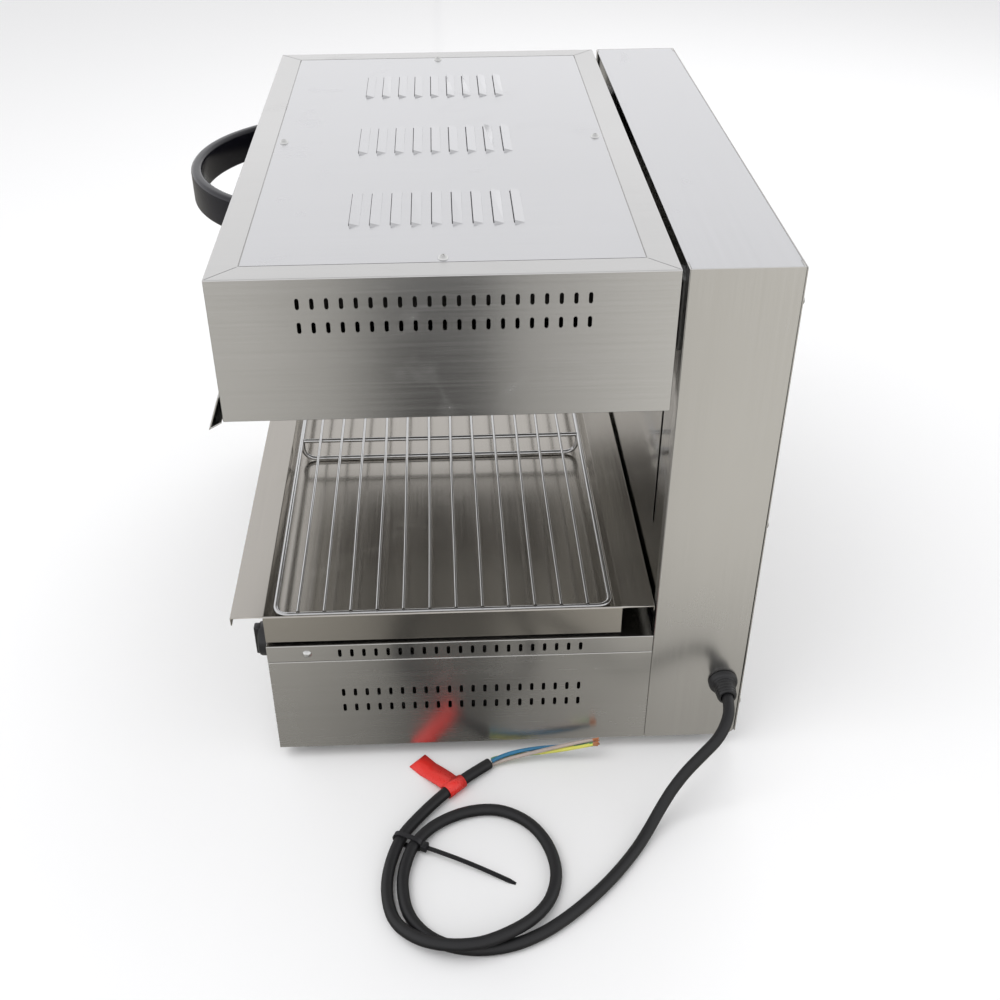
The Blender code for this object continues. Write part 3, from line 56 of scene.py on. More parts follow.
def makeCamera(facts):
    azimuth, elevation, roll = (math.radians(facts[k]) for k in ("azimuth", "elevation", "roll"))
    back = Vector((math.sin(azimuth) * math.cos(elevation), -math.cos(azimuth) * math.cos(elevation),
                   math.sin(elevation)))
    right = Vector((0, 0, 1)).cross(back).normalized()
    up = back.cross(right)
    rolledRight = right * math.cos(roll) + up * math.sin(roll)
    rolledUp = up * math.cos(roll) - right * math.sin(roll)
    data = bpy.data.cameras.new("viewCamera")
    data.lens = facts["lens"]
    data.sensor_width = 36
    data.shift_x = facts["shift"]
    data.clip_start = 0.01
    camera = bpy.data.objects.new("viewCamera", data)
    scene.collection.objects.link(camera)
    turn = Matrix((rolledRight, rolledUp, back)).transposed().to_4x4()
    camera.matrix_world = Matrix.Translation(facts["place"]) @ turn
    scene.camera = camera


stageFacts = {
    "floorColor": (0.90, 0.90, 0.90), "floorSize": 14.0,
    "skyColor": (0.985, 0.985, 1.0), "skyLow": 1.16, "skyMiddle": 0.90, "skyTop": 0.70,
}

# what upright steel mirrors from below: brightness to the front, in the middle and to the rear,
# with a dark band between
sheenFacts = {"front": 0.60, "middle": 0.34, "rear": 0.74, "bandDepth": 0.80, "nearDepth": 0.40, "near": 0.56,
              "tint": (1.0, 0.975, 0.915), "size": 6.0, "face": 0.300}


def makeStage(facts):
    world = bpy.data.worlds.new("paleRoom")
    world.use_nodes = True
    background = world.node_tree.nodes["Background"]
    background.inputs["Color"].default_value = (*facts["skyColor"], 1)
    tree = world.node_tree
    coord = tree.nodes.new("ShaderNodeTexCoord")
    split = tree.nodes.new("ShaderNodeSeparateXYZ")
    tree.links.new(coord.outputs["Generated"], split.inputs[0])
    low = mapRange(tree, split.outputs["Z"], 0.08, 0.55, facts["skyLow"], facts["skyMiddle"])
    high = mapRange(tree, split.outputs["Z"], 0.62, 1.0, facts["skyMiddle"], facts["skyTop"])
    lower = maths(tree, "LESS_THAN", split.outputs["Z"], 0.6)
    upper = maths(tree, "SUBTRACT", 1.0, lower)
    strength = maths(tree, "ADD", maths(tree, "MULTIPLY", low, lower), maths(tree, "MULTIPLY", high, upper))
    tree.links.new(strength, background.inputs["Strength"])
    scene.world = world
    bm = bmesh.new()
    bmesh.ops.create_grid(bm, x_segments=1, y_segments=1, size=facts["floorSize"] / 2)
    floor = newMesh("studioFloor", bm)
    floor.data.materials.append(plainMaterial("paleFloor", facts["floorColor"], 0.7))
    addLamp("keyPanel", (0.9, -1.1, 2.3), (0, 0, 0.2), 1.9, 26)
    addLamp("fillPanel", (-1.6, 0.9, 1.9), (0, 0, 0.3), 1.6, 14)
    makeSheenCard(sheenFacts)
    scene.view_settings.view_transform = "Standard"


def addLamp(name, place, target, size, power):
    data = bpy.data.lights.new(name, "AREA")
    data.size = size
    data.energy = power
    lamp = bpy.data.objects.new(name, data)
    lamp.location = place
    lamp.rotation_euler = (Vector(target) - Vector(place)).to_track_quat("-Z", "Y").to_euler()
    lamp.visible_glossy = False
    scene.collection.objects.link(lamp)


def makeSheenCard(facts):
    # a glowing sheet on the floor that only mirror rays meet, so upright steel reads mid grey on a pale
    # floor; its pattern fans out from the camera's mirror image, so it stands upright on the right face
    bm = bmesh.new()
    bmesh.ops.create_grid(bm, x_segments=1, y_segments=1, size=facts["size"] / 2)
    bmesh.ops.translate(bm, vec=(0, 0, 0.0004), verts=bm.verts)
    card = newMesh("sheenCard", bm)
    card.visible_camera = False
    card.visible_diffuse = False
    card.visible_shadow = False
    card.visible_transmission = False
    mat = bpy.data.materials.new("sheenCard")
    mat.use_nodes = True
    tree = mat.node_tree
    tree.nodes.clear()
    output = tree.nodes.new("ShaderNodeOutputMaterial")
    glow = tree.nodes.new("ShaderNodeEmission")
    coord = tree.nodes.new("ShaderNodeTexCoord")
    split = tree.nodes.new("ShaderNodeSeparateXYZ")
    tree.links.new(coord.outputs["Object"], split.inputs[0])
    mirrorX = 2 * facts["face"] - cameraFacts["place"][0]
    away = maths(tree, "MAXIMUM", maths(tree, "SUBTRACT", split.outputs["X"], mirrorX), 0.1)
    aside = maths(tree, "SUBTRACT", split.outputs["Y"], cameraFacts["place"][1])
    share = maths(tree, "MULTIPLY", maths(tree, "DIVIDE", aside, away), facts["face"] - mirrorX)
    spot = maths(tree, "ADD", share, cameraFacts["place"][1])
    front = mapRange(tree, spot, -0.20, -0.04, facts["front"], facts["middle"])
    rear = mapRange(tree, spot, -0.01, 0.21, facts["middle"], facts["rear"])
    level = maths(tree, "MAXIMUM", front, rear)
    band = maths(tree, "MULTIPLY", mapRange(tree, spot, -0.110, -0.036, 0.0, 1.0),
                 mapRange(tree, spot, 0.004, 0.036, 1.0, 0.0))
    depth = mapRange(tree, split.outputs["X"], 0.35, 0.85, facts["nearDepth"], facts["bandDepth"])
    kept = maths(tree, "SUBTRACT", 1.0, maths(tree, "MULTIPLY", band, depth))
    dimmed = maths(tree, "MULTIPLY", level, kept)
    reach = mapRange(tree, split.outputs["X"], 0.28, 0.70, facts["near"], 1.0)
    tree.links.new(maths(tree, "MULTIPLY", dimmed, reach), glow.inputs["Strength"])
    glow.inputs["Color"].default_value = (*facts["tint"], 1)
    tree.links.new(glow.outputs[0], output.inputs[0])
    card.data.materials.append(mat)


# ---- node and mesh helpers

def newMesh(name, bm):
    mesh = bpy.data.meshes.new(name)
    bm.to_mesh(mesh)
    bm.free()
    obj = bpy.data.objects.new(name, mesh)
    scene.collection.objects.link(obj)
    return obj


def smoothByAngle(obj, degrees=35):
    obj.data.shade_smooth()
    obj.data.set_sharp_from_angle(angle=math.radians(degrees))


def place(obj, body, mat, nodes=(), slot=None, smooth=35):
    if mat is not None:
        obj.data.materials.clear()
        obj.data.materials.append(mat)
    if smooth:
        smoothByAngle(obj, smooth)
    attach(obj, body)
    if nodes:
        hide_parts(*nodes)
    return obj


def mapRange(tree, source, fromMin, fromMax, toMin, toMax):
    node = tree.nodes.new("ShaderNodeMapRange")
    node.interpolation_type = "SMOOTHSTEP"
    for key, value in (("From Min", fromMin), ("From Max", fromMax), ("To Min", toMin), ("To Max", toMax)):
        node.inputs[key].default_value = value
    tree.links.new(source, node.inputs["Value"])
    return node.outputs["Result"]


def maths(tree, operation, first, second=None):
    node = tree.nodes.new("ShaderNodeMath")
    node.operation = operation
    for socket, value in zip(node.inputs, (first, second)):
        if value is None:
            continue
        if isinstance(value, (int, float)):
            socket.default_value = value
        else:
            tree.links.new(value, socket)
    return node.outputs[0]


def tint(tree, factor, dark, light):
    node = tree.nodes.new("ShaderNodeMix")
    node.data_type = "RGBA"
    node.inputs[6].default_value = (*dark, 1)
    node.inputs[7].default_value = (*light, 1)
    tree.links.new(factor, node.inputs[0])
    return node.outputs[2]


def scaled(color, factor):
    return tuple(min(1.0, c * factor) for c in color)


def plainMaterial(name, color, roughness):
    mat = bpy.data.materials.new(name)
    mat.use_nodes = True
    shader = mat.node_tree.nodes["Principled BSDF"]
    shader.inputs["Base Color"].default_value = (*color, 1)
    shader.inputs["Roughness"].default_value = roughness
    return mat


# Brush marks: fine streaks along one way, wide soft clouding and a few rubbed smears.
def makeBrushGroup():
    group = bpy.data.node_groups.new("brushMarks", "ShaderNodeTree")
    group.interface.new_socket("Stretch", in_out="INPUT", socket_type="NodeSocketVector")
    group.interface.new_socket("Shift", in_out="INPUT", socket_type="NodeSocketVector")
    for name in ("Streaks", "Clouding", "Smears", "Height"):
        group.interface.new_socket(name, in_out="OUTPUT", socket_type="NodeSocketFloat")
    entry = group.nodes.new("NodeGroupInput")
    leave = group.nodes.new("NodeGroupOutput")
    coord = group.nodes.new("ShaderNodeTexCoord")
    moved = vectorMath(group, "ADD", coord.outputs["Object"], entry.outputs["Shift"])
    stretched = vectorMath(group, "MULTIPLY", moved, entry.outputs["Stretch"])
    fine = noise(group, stretched, 1.0, 3.0, 0.62)
    half = vectorMath(group, "SCALE", stretched, None, 0.23)
    coarse = noise(group, half, 1.0, 2.0, 0.5)
    cloud = noise(group, moved, 5.2, 3.0, 0.55)
    smear = noise(group, moved, 13.0, 4.0, 0.6, 1.4)
    mixed = maths(group, "ADD", maths(group, "MULTIPLY", fine, 0.62), maths(group, "MULTIPLY", coarse, 0.38))
    group.links.new(mapRange(group, mixed, 0.32, 0.68, 0.0, 1.0), leave.inputs["Streaks"])
    group.links.new(mapRange(group, cloud, 0.34, 0.68, 0.0, 1.0), leave.inputs["Clouding"])
    group.links.new(mapRange(group, smear, 0.56, 0.74, 0.0, 1.0), leave.inputs["Smears"])
    group.links.new(fine, leave.inputs["Height"])
    return group


# Specks: an even fine grain with wide soft patches, for moulded and cast surfaces.
def makeGrainGroup():
    group = bpy.data.node_groups.new("surfaceGrain", "ShaderNodeTree")
    group.interface.new_socket("Scale", in_out="INPUT", socket_type="NodeSocketFloat")
    for name in ("Grain", "Patches", "Height"):
        group.interface.new_socket(name, in_out="OUTPUT", socket_type="NodeSocketFloat")
    entry = group.nodes.new("NodeGroupInput")
    leave = group.nodes.new("NodeGroupOutput")
    coord = group.nodes.new("ShaderNodeTexCoord")
    sized = vectorMath(group, "SCALE", coord.outputs["Object"], None, entry.outputs["Scale"])
    fine = noise(group, sized, 1.0, 3.0, 0.6)
    wide = noise(group, coord.outputs["Object"], 22.0, 3.0, 0.55)
    group.links.new(mapRange(group, fine, 0.35, 0.65, 0.0, 1.0), leave.inputs["Grain"])
    group.links.new(mapRange(group, wide, 0.38, 0.66, 0.0, 1.0), leave.inputs["Patches"])
    group.links.new(fine, leave.inputs["Height"])
    return group


def vectorMath(tree, operation, first, second=None, amount=None):
    node = tree.nodes.new("ShaderNodeVectorMath")
    node.operation = operation
    tree.links.new(first, node.inputs[0])
    if second is not None:
        tree.links.new(second, node.inputs[1])
    if isinstance(amount, (int, float)):
        node.inputs["Scale"].default_value = amount
    elif amount is not None:
        tree.links.new(amount, node.inputs["Scale"])
    return node.outputs[0]


def noise(tree, vector, scale, detail, roughness, distortion=0.0):
    node = tree.nodes.new("ShaderNodeTexNoise")
    node.inputs["Scale"].default_value = scale
    node.inputs["Detail"].default_value = detail
    node.inputs["Roughness"].default_value = roughness
    node.inputs["Distortion"].default_value = distortion
    tree.links.new(vector, node.inputs["Vector"])
    return node.outputs[0]


brushGroup = makeBrushGroup()
grainGroup = makeGrainGroup()
brushWays = {"x": (7, 900, 900), "y": (900, 7, 900), "z": (900, 900, 7)}


def steelMaterial(name, color, rough, way, depth=0.008, contrast=0.03, turned=0.0):
    mat = bpy.data.materials.new(name)
    mat.use_nodes = True
    tree = mat.node_tree
    shader = tree.nodes["Principled BSDF"]
    shader.inputs["Metallic"].default_value = 1.0
    shader.inputs["Anisotropic"].default_value = turned
    marks = tree.nodes.new("ShaderNodeGroup")
    marks.node_tree = brushGroup
    marks.inputs["Stretch"].default_value = brushWays[way]
    marks.inputs["Shift"].default_value = [random.uniform(0.5, 4.0) for _ in range(3)]
    shade = maths(tree, "ADD", maths(tree, "MULTIPLY", marks.outputs["Streaks"], 0.55), maths(
        tree, "MULTIPLY", marks.outputs["Clouding"], 0.45))
    tree.links.new(tint(tree, shade, scaled(color, 1 - contrast), scaled(color, 1 + contrast)),
                   shader.inputs["Base Color"])
    rubbed = maths(tree, "ADD", maths(tree, "MULTIPLY", marks.outputs["Streaks"], 0.04), maths(
        tree, "MULTIPLY", marks.outputs["Smears"], 0.05))
    rubbed = maths(tree, "ADD", rubbed, maths(tree, "MULTIPLY", marks.outputs["Clouding"], 0.04))
    tree.links.new(maths(tree, "ADD", rubbed, rough - 0.05), shader.inputs["Roughness"])
    bump = tree.nodes.new("ShaderNodeBump")
    bump.inputs["Strength"].default_value = depth
    bump.inputs["Distance"].default_value = 0.0002
    tree.links.new(marks.outputs["Height"], bump.inputs["Height"])
    tree.links.new(bump.outputs[0], shader.inputs["Normal"])
    if turned:
        tangent = tree.nodes.new("ShaderNodeTangent")
        tangent.direction_type = "RADIAL"
        tangent.axis = "Z"
        shader.inputs["Anisotropic Rotation"].default_value = 0.25
        tree.links.new(tangent.outputs[0], shader.inputs["Tangent"])
    return mat


def mouldedMaterial(name, color, rough, grain=1400.0, depth=0.12, contrast=0.25, metallic=0.0, coat=0.0):
    mat = bpy.data.materials.new(name)
    mat.use_nodes = True
    tree = mat.node_tree
    shader = tree.nodes["Principled BSDF"]
    shader.inputs["Metallic"].default_value = metallic
    shader.inputs["Coat Weight"].default_value = coat
    shader.inputs["Coat Roughness"].default_value = 0.12
    marks = tree.nodes.new("ShaderNodeGroup")
    marks.node_tree = grainGroup
    marks.inputs["Scale"].default_value = grain
    shade = maths(tree, "ADD", maths(tree, "MULTIPLY", marks.outputs["Grain"], 0.4), maths(
        tree, "MULTIPLY", marks.outputs["Patches"], 0.6))
    tree.links.new(tint(tree, shade, scaled(color, 1 - contrast), scaled(color, 1 + contrast)),
                   shader.inputs["Base Color"])
    uneven = maths(tree, "MULTIPLY", shade, 0.12)
    tree.links.new(maths(tree, "ADD", uneven, rough - 0.06), shader.inputs["Roughness"])
    bump = tree.nodes.new("ShaderNodeBump")
    bump.inputs["Strength"].default_value = depth
    bump.inputs["Distance"].default_value = 0.0002
    tree.links.new(marks.outputs["Height"], bump.inputs["Height"])
    tree.links.new(bump.outputs[0], shader.inputs["Normal"])
    return mat


def turnedPiece(name, profile, centre, axis, steps=48):
    # profile points are (distance out from the axis, distance along it); spun round an axis through centre
    bm = bmesh.new()
    along = {"X": Vector((1, 0, 0)), "Y": Vector((0, 1, 0)), "Z": Vector((0, 0, 1))}[axis]
    out = Vector((0, 0, 1)) if axis != "Z" else Vector((1, 0, 0))
    verts = [bm.verts.new(Vector(centre) + out * r + along * h) for r, h in profile]
    edges = [bm.edges.new(pair) for pair in zip(verts, verts[1:])]
    bmesh.ops.spin(bm, geom=verts + edges, cent=centre, axis=along, angle=2 * math.pi, steps=steps,
                   use_merge=True)
    bmesh.ops.remove_doubles(bm, verts=bm.verts, dist=0.00002)
    bmesh.ops.recalc_face_normals(bm, faces=bm.faces)
    return newMesh(name, bm)


def roundedBox(bm, low, high, radius, segments=3, turn=None):
    verts = bmesh.ops.create_cube(bm, size=1.0)["verts"]
    size = [high[i] - low[i] for i in range(3)]
    bmesh.ops.scale(bm, vec=size, verts=verts)
    bmesh.ops.translate(bm, vec=[(low[i] + high[i]) / 2 for i in range(3)], verts=verts)
    edges = {edge for vert in verts for edge in vert.link_edges}
    made = bmesh.ops.bevel(bm, geom=list(edges), offset=radius, offset_type="OFFSET", segments=segments,
                           profile=0.5, affect="EDGES", material=-1, clamp_overlap=True)
    if turn is not None:
        every = {vert for face in made["faces"] for vert in face.verts}
        bmesh.ops.transform(bm, matrix=turn, verts=list(every))


def tube(name, points, radius, sides=3, closed=False):
    curve = bpy.data.curves.new(name, "CURVE")
    curve.dimensions = "3D"
    curve.bevel_depth = radius
    curve.bevel_resolution = sides
    curve.use_fill_caps = not closed
    spline = curve.splines.new("POLY")
    spline.points.add(len(points) - 1)
    for point, co in zip(spline.points, points):
        point.co = (*co, 1)
    spline.use_cyclic_u = closed
    obj = bpy.data.objects.new(name, curve)
    scene.collection.objects.link(obj)
    return obj


def meshFrom(obj):
    # the tube as a closed mesh
    graph = bpy.context.evaluated_depsgraph_get()
    mesh = bpy.data.meshes.new_from_object(obj.evaluated_get(graph))
    bm = bmesh.new()
    bm.from_mesh(mesh)
    bmesh.ops.remove_doubles(bm, verts=bm.verts, dist=0.00002)
    bmesh.ops.recalc_face_normals(bm, faces=bm.faces)
    name = obj.name
    bpy.data.objects.remove(obj, do_unlink=True)
    bpy.data.meshes.remove(mesh)
    return newMesh(name, bm)


def joined(name, objects):
    bm = bmesh.new()
    for obj in objects:
        bm.from_mesh(obj.data)
        bpy.data.objects.remove(obj, do_unlink=True)
    return newMesh(name, bm)


def flowing(points, spacing):
    # even points along one smooth curve through the given ones
    given = [Vector(p) for p in points]
    given = [2 * given[0] - given[1]] + given + [2 * given[-1] - given[-2]]
    fine = []
    steps = 24
    for a, b, c, d in zip(given, given[1:], given[2:], given[3:]):
        for i in range(steps):
            t = i / steps
            fine.append(0.5 * (2 * b + (c - a) * t + (2 * a - 5 * b + 4 * c - d) * t ** 2
                               + (3 * b - a - 3 * c + d) * t ** 3))
    fine.append(given[-2])
    run = [0.0]
    for a, b in zip(fine, fine[1:]):
        run.append(run[-1] + (b - a).length)
    count = max(2, round(run[-1] / spacing))
    even = []
    j = 0
    for i in range(count + 1):
        want = run[-1] * i / count
        while j < len(run) - 2 and run[j + 1] < want:
            j += 1
        part = (want - run[j]) / max(run[j + 1] - run[j], 1e-9)
        even.append(fine[j].lerp(fine[j + 1], min(1.0, max(0.0, part))))
    return even


makeCamera(cameraFacts)
makeStage(stageFacts)
print("camera and stage ready")


# ---- supply cord and what is on it

cordFacts = {"radius": 0.00525, "lie": 0.00555, "tieLie": 0.00735, "flagLie": 0.00705,
             "tieNear": (0.4130, -0.0585), "tieFar": (0.4070, -0.0712)}


def cordRoute(facts):
    lie = facts["lie"]
    return [
        (0.311, 0.2302, 0.0850), (0.3190, 0.2302, 0.0850), (0.3245, 0.2302, 0.0850), (0.3394, 0.2281, 0.0832),
        (0.3518, 0.2225, 0.0783), (0.3612, 0.2140, 0.0709), (0.3676, 0.2020, 0.0606),
        (0.3745, 0.1870, 0.0465),
        (0.3830, 0.1735, 0.0320), (0.3945, 0.1612, 0.0185), (0.4095, 0.1490, 0.0090), (0.4280, 0.1350, lie),
        (0.452, 0.1150, lie), (0.473, 0.0940, lie), (0.493, 0.0700, lie), (0.508, 0.0470, lie),
        (0.518, 0.0220, lie), (0.521, -0.0050, lie), (0.516, -0.0310, lie), (0.503, -0.0510, lie),
        (0.482, -0.0645, lie), (0.455, -0.0690, lie), (0.434, -0.0665, 0.0066),
        (*facts["tieNear"], facts["tieLie"]), (0.392, -0.0400, 0.0064), (0.378, -0.0120, lie),
        (0.377, 0.0170, lie), (0.391, 0.0420, lie), (0.415, 0.0580, lie), (0.445, 0.0640, lie),
        (0.472, 0.0580, 0.0060), (0.494, 0.0430, 0.0095), (0.512, 0.0210, 0.0150), (0.523, -0.0050, 0.0172),
        (0.523, -0.0320, 0.0165), (0.512, -0.0560, 0.0115), (0.492, -0.0745, 0.0065), (0.465, -0.0820, lie),
        (0.437, -0.0805, 0.0066), (*facts["tieFar"], facts["tieLie"]), (0.383, -0.0555, 0.0064),
        (0.359, -0.0340, facts["flagLie"]), (0.338, -0.0110, facts["flagLie"]), (0.320, 0.0110, lie),
    ]


coreFacts = {"radius": 0.0019, "gap": 0.0025, "turn": 205.0, "start": 60.0, "tip": 0.0062, "strand": 0.00055,
             "colors": {"blue": (0.02, 0.16, 0.30), "earth": (0.62, 0.60, 0.10), "brown": (0.42, 0.35, 0.31)},
             "green": (0.10, 0.30, 0.10), "copper": (0.72, 0.34, 0.18)}
coreRoute = [(0.3200, 0.0110, 0.0057), (0.3175, 0.0165, 0.0068), (0.3140, 0.0300, 0.0085),
             (0.3125, 0.0550, 0.0120), (0.3125, 0.0820, 0.0165), (0.3135, 0.1100, 0.0220)]


def makeCores(facts):
    middle = flowing(coreRoute, 0.003)[1:]
    ends = []
    pieces = []
    for i, (name, color) in enumerate(facts["colors"].items()):
        points = []
        for j, point in enumerate(middle):
            share = j / (len(middle) - 1)
            angle = math.radians(facts["start"] + 120 * i + facts["turn"] * share)
            spread = facts["gap"] * (1.0 + 0.12 * math.sin(share * 5 + i))
            points.append(point + Vector((math.cos(angle), 0, math.sin(angle))) * spread)
        core = meshFrom(tube("core_" + name, points, facts["radius"], 4))
        mat = mouldedMaterial("core_" + name, color, 0.34, 900, 0.1, 0.12, coat=0.3)
        place(core, "base", mat, ["conductor_" + name], "core_" + name)
        if name == "earth":
            green = mouldedMaterial("core_green", facts["green"], 0.34, 900, 0.1, 0.12, coat=0.3)
            core.data.materials.append(green)
            stripe(core, points)
        pieces.append(core)
        ends.append((points[-1], (points[-1] - points[-3]).normalized()))
    pieces.append(makeTips(facts, ends))
    return pieces


def stripe(core, points):
    # the two colours run side by side and wind slowly round the core
    for face in core.data.polygons:
        nearest = min(range(len(points)), key=lambda k: (points[k] - face.center).length)
        off = face.center - points[nearest]
        angle = math.degrees(math.atan2(off.z, off.x)) + nearest * 9
        face.material_index = 1 if (angle % 360) < 125 else 0


def makeTips(facts, ends):
    strands = []
    for end, forward in ends:
        side = forward.cross(Vector((0, 0, 1))).normalized()
        up = side.cross(forward)
        for ring, count in ((0.0, 1), (0.0011, 6)):
            for k in range(count):
                angle = 2 * math.pi * k / count
                off = (side * math.cos(angle) + up * math.sin(angle)) * ring
                reach = facts["tip"] * random.uniform(0.8, 1.05)
                points = [end + off - forward * 0.002, end + off + forward * reach * 0.5,
                          end + off * 1.25 + forward * reach]
                strands.append(meshFrom(tube("strand", points, facts["strand"], 2)))
    tips = joined("copperTips", strands)
    mat = mouldedMaterial("copperStrand", facts["copper"], 0.3, 2600, 0.2, 0.15, metallic=1.0)
    return place(tips, "base", mat)


tieFacts = {"width": 0.0045, "band": 0.0013, "slack": 0.0008, "tail": 0.085}


def makeTie(facts):
    near = Vector((*cordFacts["tieNear"], 0))
    far = Vector((*cordFacts["tieFar"], 0))
    across = (near - far).normalized()
    along = Vector((-across.y, across.x, 0))
    innerV = cordFacts["radius"] + facts["slack"]
    innerU = (near - far).length / 2 + innerV
    frameTurn = Matrix((across, along, (0, 0, 1))).transposed().to_4x4()
    middle = ((near.x + far.x) / 2, (near.y + far.y) / 2, innerV + facts["band"])
    spot = Matrix.Translation(middle) @ frameTurn
    loop = []
    straight = innerU - innerV
    for side in (1, -1):
        for k in range(13):
            angle = math.radians(-90 + 180 * k / 12) if side > 0 else math.radians(90 + 180 * k / 12)
            loop.append((side * straight + innerV * math.cos(angle), innerV * math.sin(angle)))
    bm = bmesh.new()
    inner = [bm.verts.new((u, -facts["width"] / 2, v)) for u, v in loop]
    grow = 1 + facts["band"] / innerV
    outer = []
    for u, v in loop:
        centre = math.copysign(straight, u)
        outer.append(bm.verts.new((centre + (u - centre) * grow, -facts["width"] / 2, v * grow)))
    edges = []
    for ring in (inner, outer):
        edges += [bm.edges.new((a, b)) for a, b in zip(ring, ring[1:] + ring[:1])]
    band = bmesh.ops.bridge_loops(bm, edges=edges)["faces"]
    out = bmesh.ops.extrude_face_region(bm, geom=band)
    moved = [v for v in out["geom"] if isinstance(v, bmesh.types.BMVert)]
    bmesh.ops.translate(bm, vec=(0, facts["width"], 0), verts=moved)
    edge = innerU + facts["band"]
    roundedBox(bm, (edge - 0.0006, -0.0037, -0.0032), (edge + 0.0048, 0.0037, 0.0034), 0.0006, 2)
    bmesh.ops.recalc_face_normals(bm, faces=bm.faces)
    # the tail droops from the head to the floor, with fine teeth across one face
    count = 60
    start = edge + 0.0040
    grid = bmesh.ops.create_grid(bm, x_segments=count, y_segments=4, size=0.5)["verts"]
    floorZ = 0.0008 - innerV - facts["band"]
    for vert in grid:
        share = vert.co.x + 0.5
        narrow = 1.0 - 0.45 * max(0.0, share - 0.93) / 0.07
        drop = share ** 1.5
        z = 0.0002 + (floorZ - 0.0002) * drop + 0.0012 * math.sin(share * math.pi)
        z += 0.00012 * (round(share * count) % 2)
        vert.co = Vector((start + facts["tail"] * share, vert.co.y * 0.0042 * narrow, z))
    faces = list({face for vert in grid for face in vert.link_faces})
    bmesh.ops.solidify(bm, geom=faces, thickness=0.0009)
    bmesh.ops.transform(bm, matrix=spot, verts=bm.verts)
    bmesh.ops.recalc_face_normals(bm, faces=bm.faces)
    tie = newMesh("cableTie", bm)
    mat = mouldedMaterial("tieNylon", (0.014, 0.014, 0.016), 0.36, 1800, 0.1)
    return place(tie, "base", mat, ["cord_tie"], "black_plastic")


flagFacts = {"middle": (0.3485, -0.0225, 0.00705), "width": 0.020, "length": 0.052, "sleeve": 0.00625,
             "sheet": 0.0005, "color": (0.80, 0.030, 0.022)}


def makeFlag(facts):
    along = Vector((-0.67, 0.74, 0)).normalized()
    away = Vector((-along.y, along.x, 0)).normalized()
    spot = Matrix.Translation(facts["middle"]) @ Matrix((away, along, (0, 0, 1))).transposed().to_4x4()
    # one strip: out along the blade, round the cord and back again, lying on itself
    half = facts["width"] / 2
    sleeve = facts["sleeve"]
    drop = facts["middle"][2] - 0.0012
    profile = []
    count = 18
    for k in range(count):
        share = 1 - k / count
        u = sleeve * 0.86 + (facts["length"] - sleeve * 0.86) * share
        profile.append((u, bladeHeight(share, drop) + 0.00035))
    for k in range(33):
        angle = math.radians(28 + (332 - 28) * k / 32)
        profile.append((sleeve * math.cos(angle), sleeve * math.sin(angle)))
    for k in range(1, count + 1):
        share = k / count
        u = sleeve * 0.86 + (facts["length"] - sleeve * 0.86) * share
        profile.append((u, bladeHeight(share, drop) - 0.00035))
    bm = bmesh.new()
    verts = [bm.verts.new((u, -half, v)) for u, v in profile]
    edges = [bm.edges.new(pair) for pair in zip(verts, verts[1:])]
    out = bmesh.ops.extrude_edge_only(bm, edges=edges)
    moved = [v for v in out["geom"] if isinstance(v, bmesh.types.BMVert)]
    bmesh.ops.translate(bm, vec=(0, 2 * half, 0), verts=moved)
    for vert in bm.verts:
        vert.co.z += 0.0006 * math.sin(vert.co.y * 180) * max(0.0, vert.co.x - 0.012) / 0.04
    bmesh.ops.transform(bm, matrix=spot, verts=bm.verts)
    bmesh.ops.recalc_face_normals(bm, faces=bm.faces)
    flag = newMesh("redFlag", bm)
    solid = flag.modifiers.new("sheet", "SOLIDIFY")
    solid.thickness = facts["sheet"]
    solid.offset = 0
    mat = mouldedMaterial("flagVinyl", facts["color"], 0.33, 700, 0.12, 0.08, coat=0.25)
    return place(flag, "base", mat, ["cord_flag"], "flag_vinyl")


def bladeHeight(share, drop):
    return -drop * min(1.0, share * 1.5) ** 1.4 * 0.93


glandFacts = {"flange": 0.0135, "neck": 0.0108, "tip": 0.0086, "bore": 0.00575,
              "centre": (0.3003, 0.2302, 0.085)}


def makeGland(facts):
    centre = facts["centre"]
    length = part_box("cable_gland")[1][0] - centre[0]
    flange = facts["flange"]
    profile = [(0.0060, 0.0), (flange - 0.0006, 0.0), (flange, 0.0006), (flange, 0.0016)]
    for k in range(1, 7):
        angle = math.radians(90 * k / 6)
        out = facts["neck"] + (flange - facts["neck"]) * math.cos(angle)
        profile.append((out, 0.0016 + 0.0042 * math.sin(angle)))
    for k in range(4):
        at = 0.0068 + k * 0.0034
        wide = facts["neck"] + (facts["tip"] - facts["neck"]) * (at / length)
        profile += [(wide, at), (wide, at + 0.0020), (wide - 0.0005, at + 0.0023),
                    (wide - 0.0005, at + 0.0031)]
    tip = facts["tip"]
    bore = facts["bore"]
    profile += [(tip, length - 0.0012), (tip - 0.0008, length - 0.0002), (tip - 0.0014, length),
                (bore + 0.0006, length), (bore, length - 0.0006), (bore, length - 0.008), (0.0060, 0.0)]
    gland = turnedPiece("cordGland", profile, centre, "X", 56)
    mat = mouldedMaterial("glandNylon", (0.013, 0.013, 0.014), 0.34, 1500, 0.12)
    return place(gland, "base", mat, ["cable_gland"], "gland_nylon", 28)


def makeCord(facts):
    points = flowing(cordRoute(facts), 0.006)
    cord = tube("supplyCord", points, facts["radius"], 6)
    mat = mouldedMaterial("cordRubber", (0.0085, 0.0085, 0.0095), 0.50, 1100, 0.22, 0.22)
    cord.data.materials.append(mat)
    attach(cord, "base")
    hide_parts("power_cord")
    onIt = [makeTie(tieFacts), makeFlag(flagFacts), *makeCores(coreFacts)]


makeCord(cordFacts)
makeGland(glandFacts)
print("cord laid")


# ---- hood

handleFacts = {"thickness": 0.010, "round": 0.0036, "sweep": 62.0, "color": (0.005, 0.005, 0.009)}


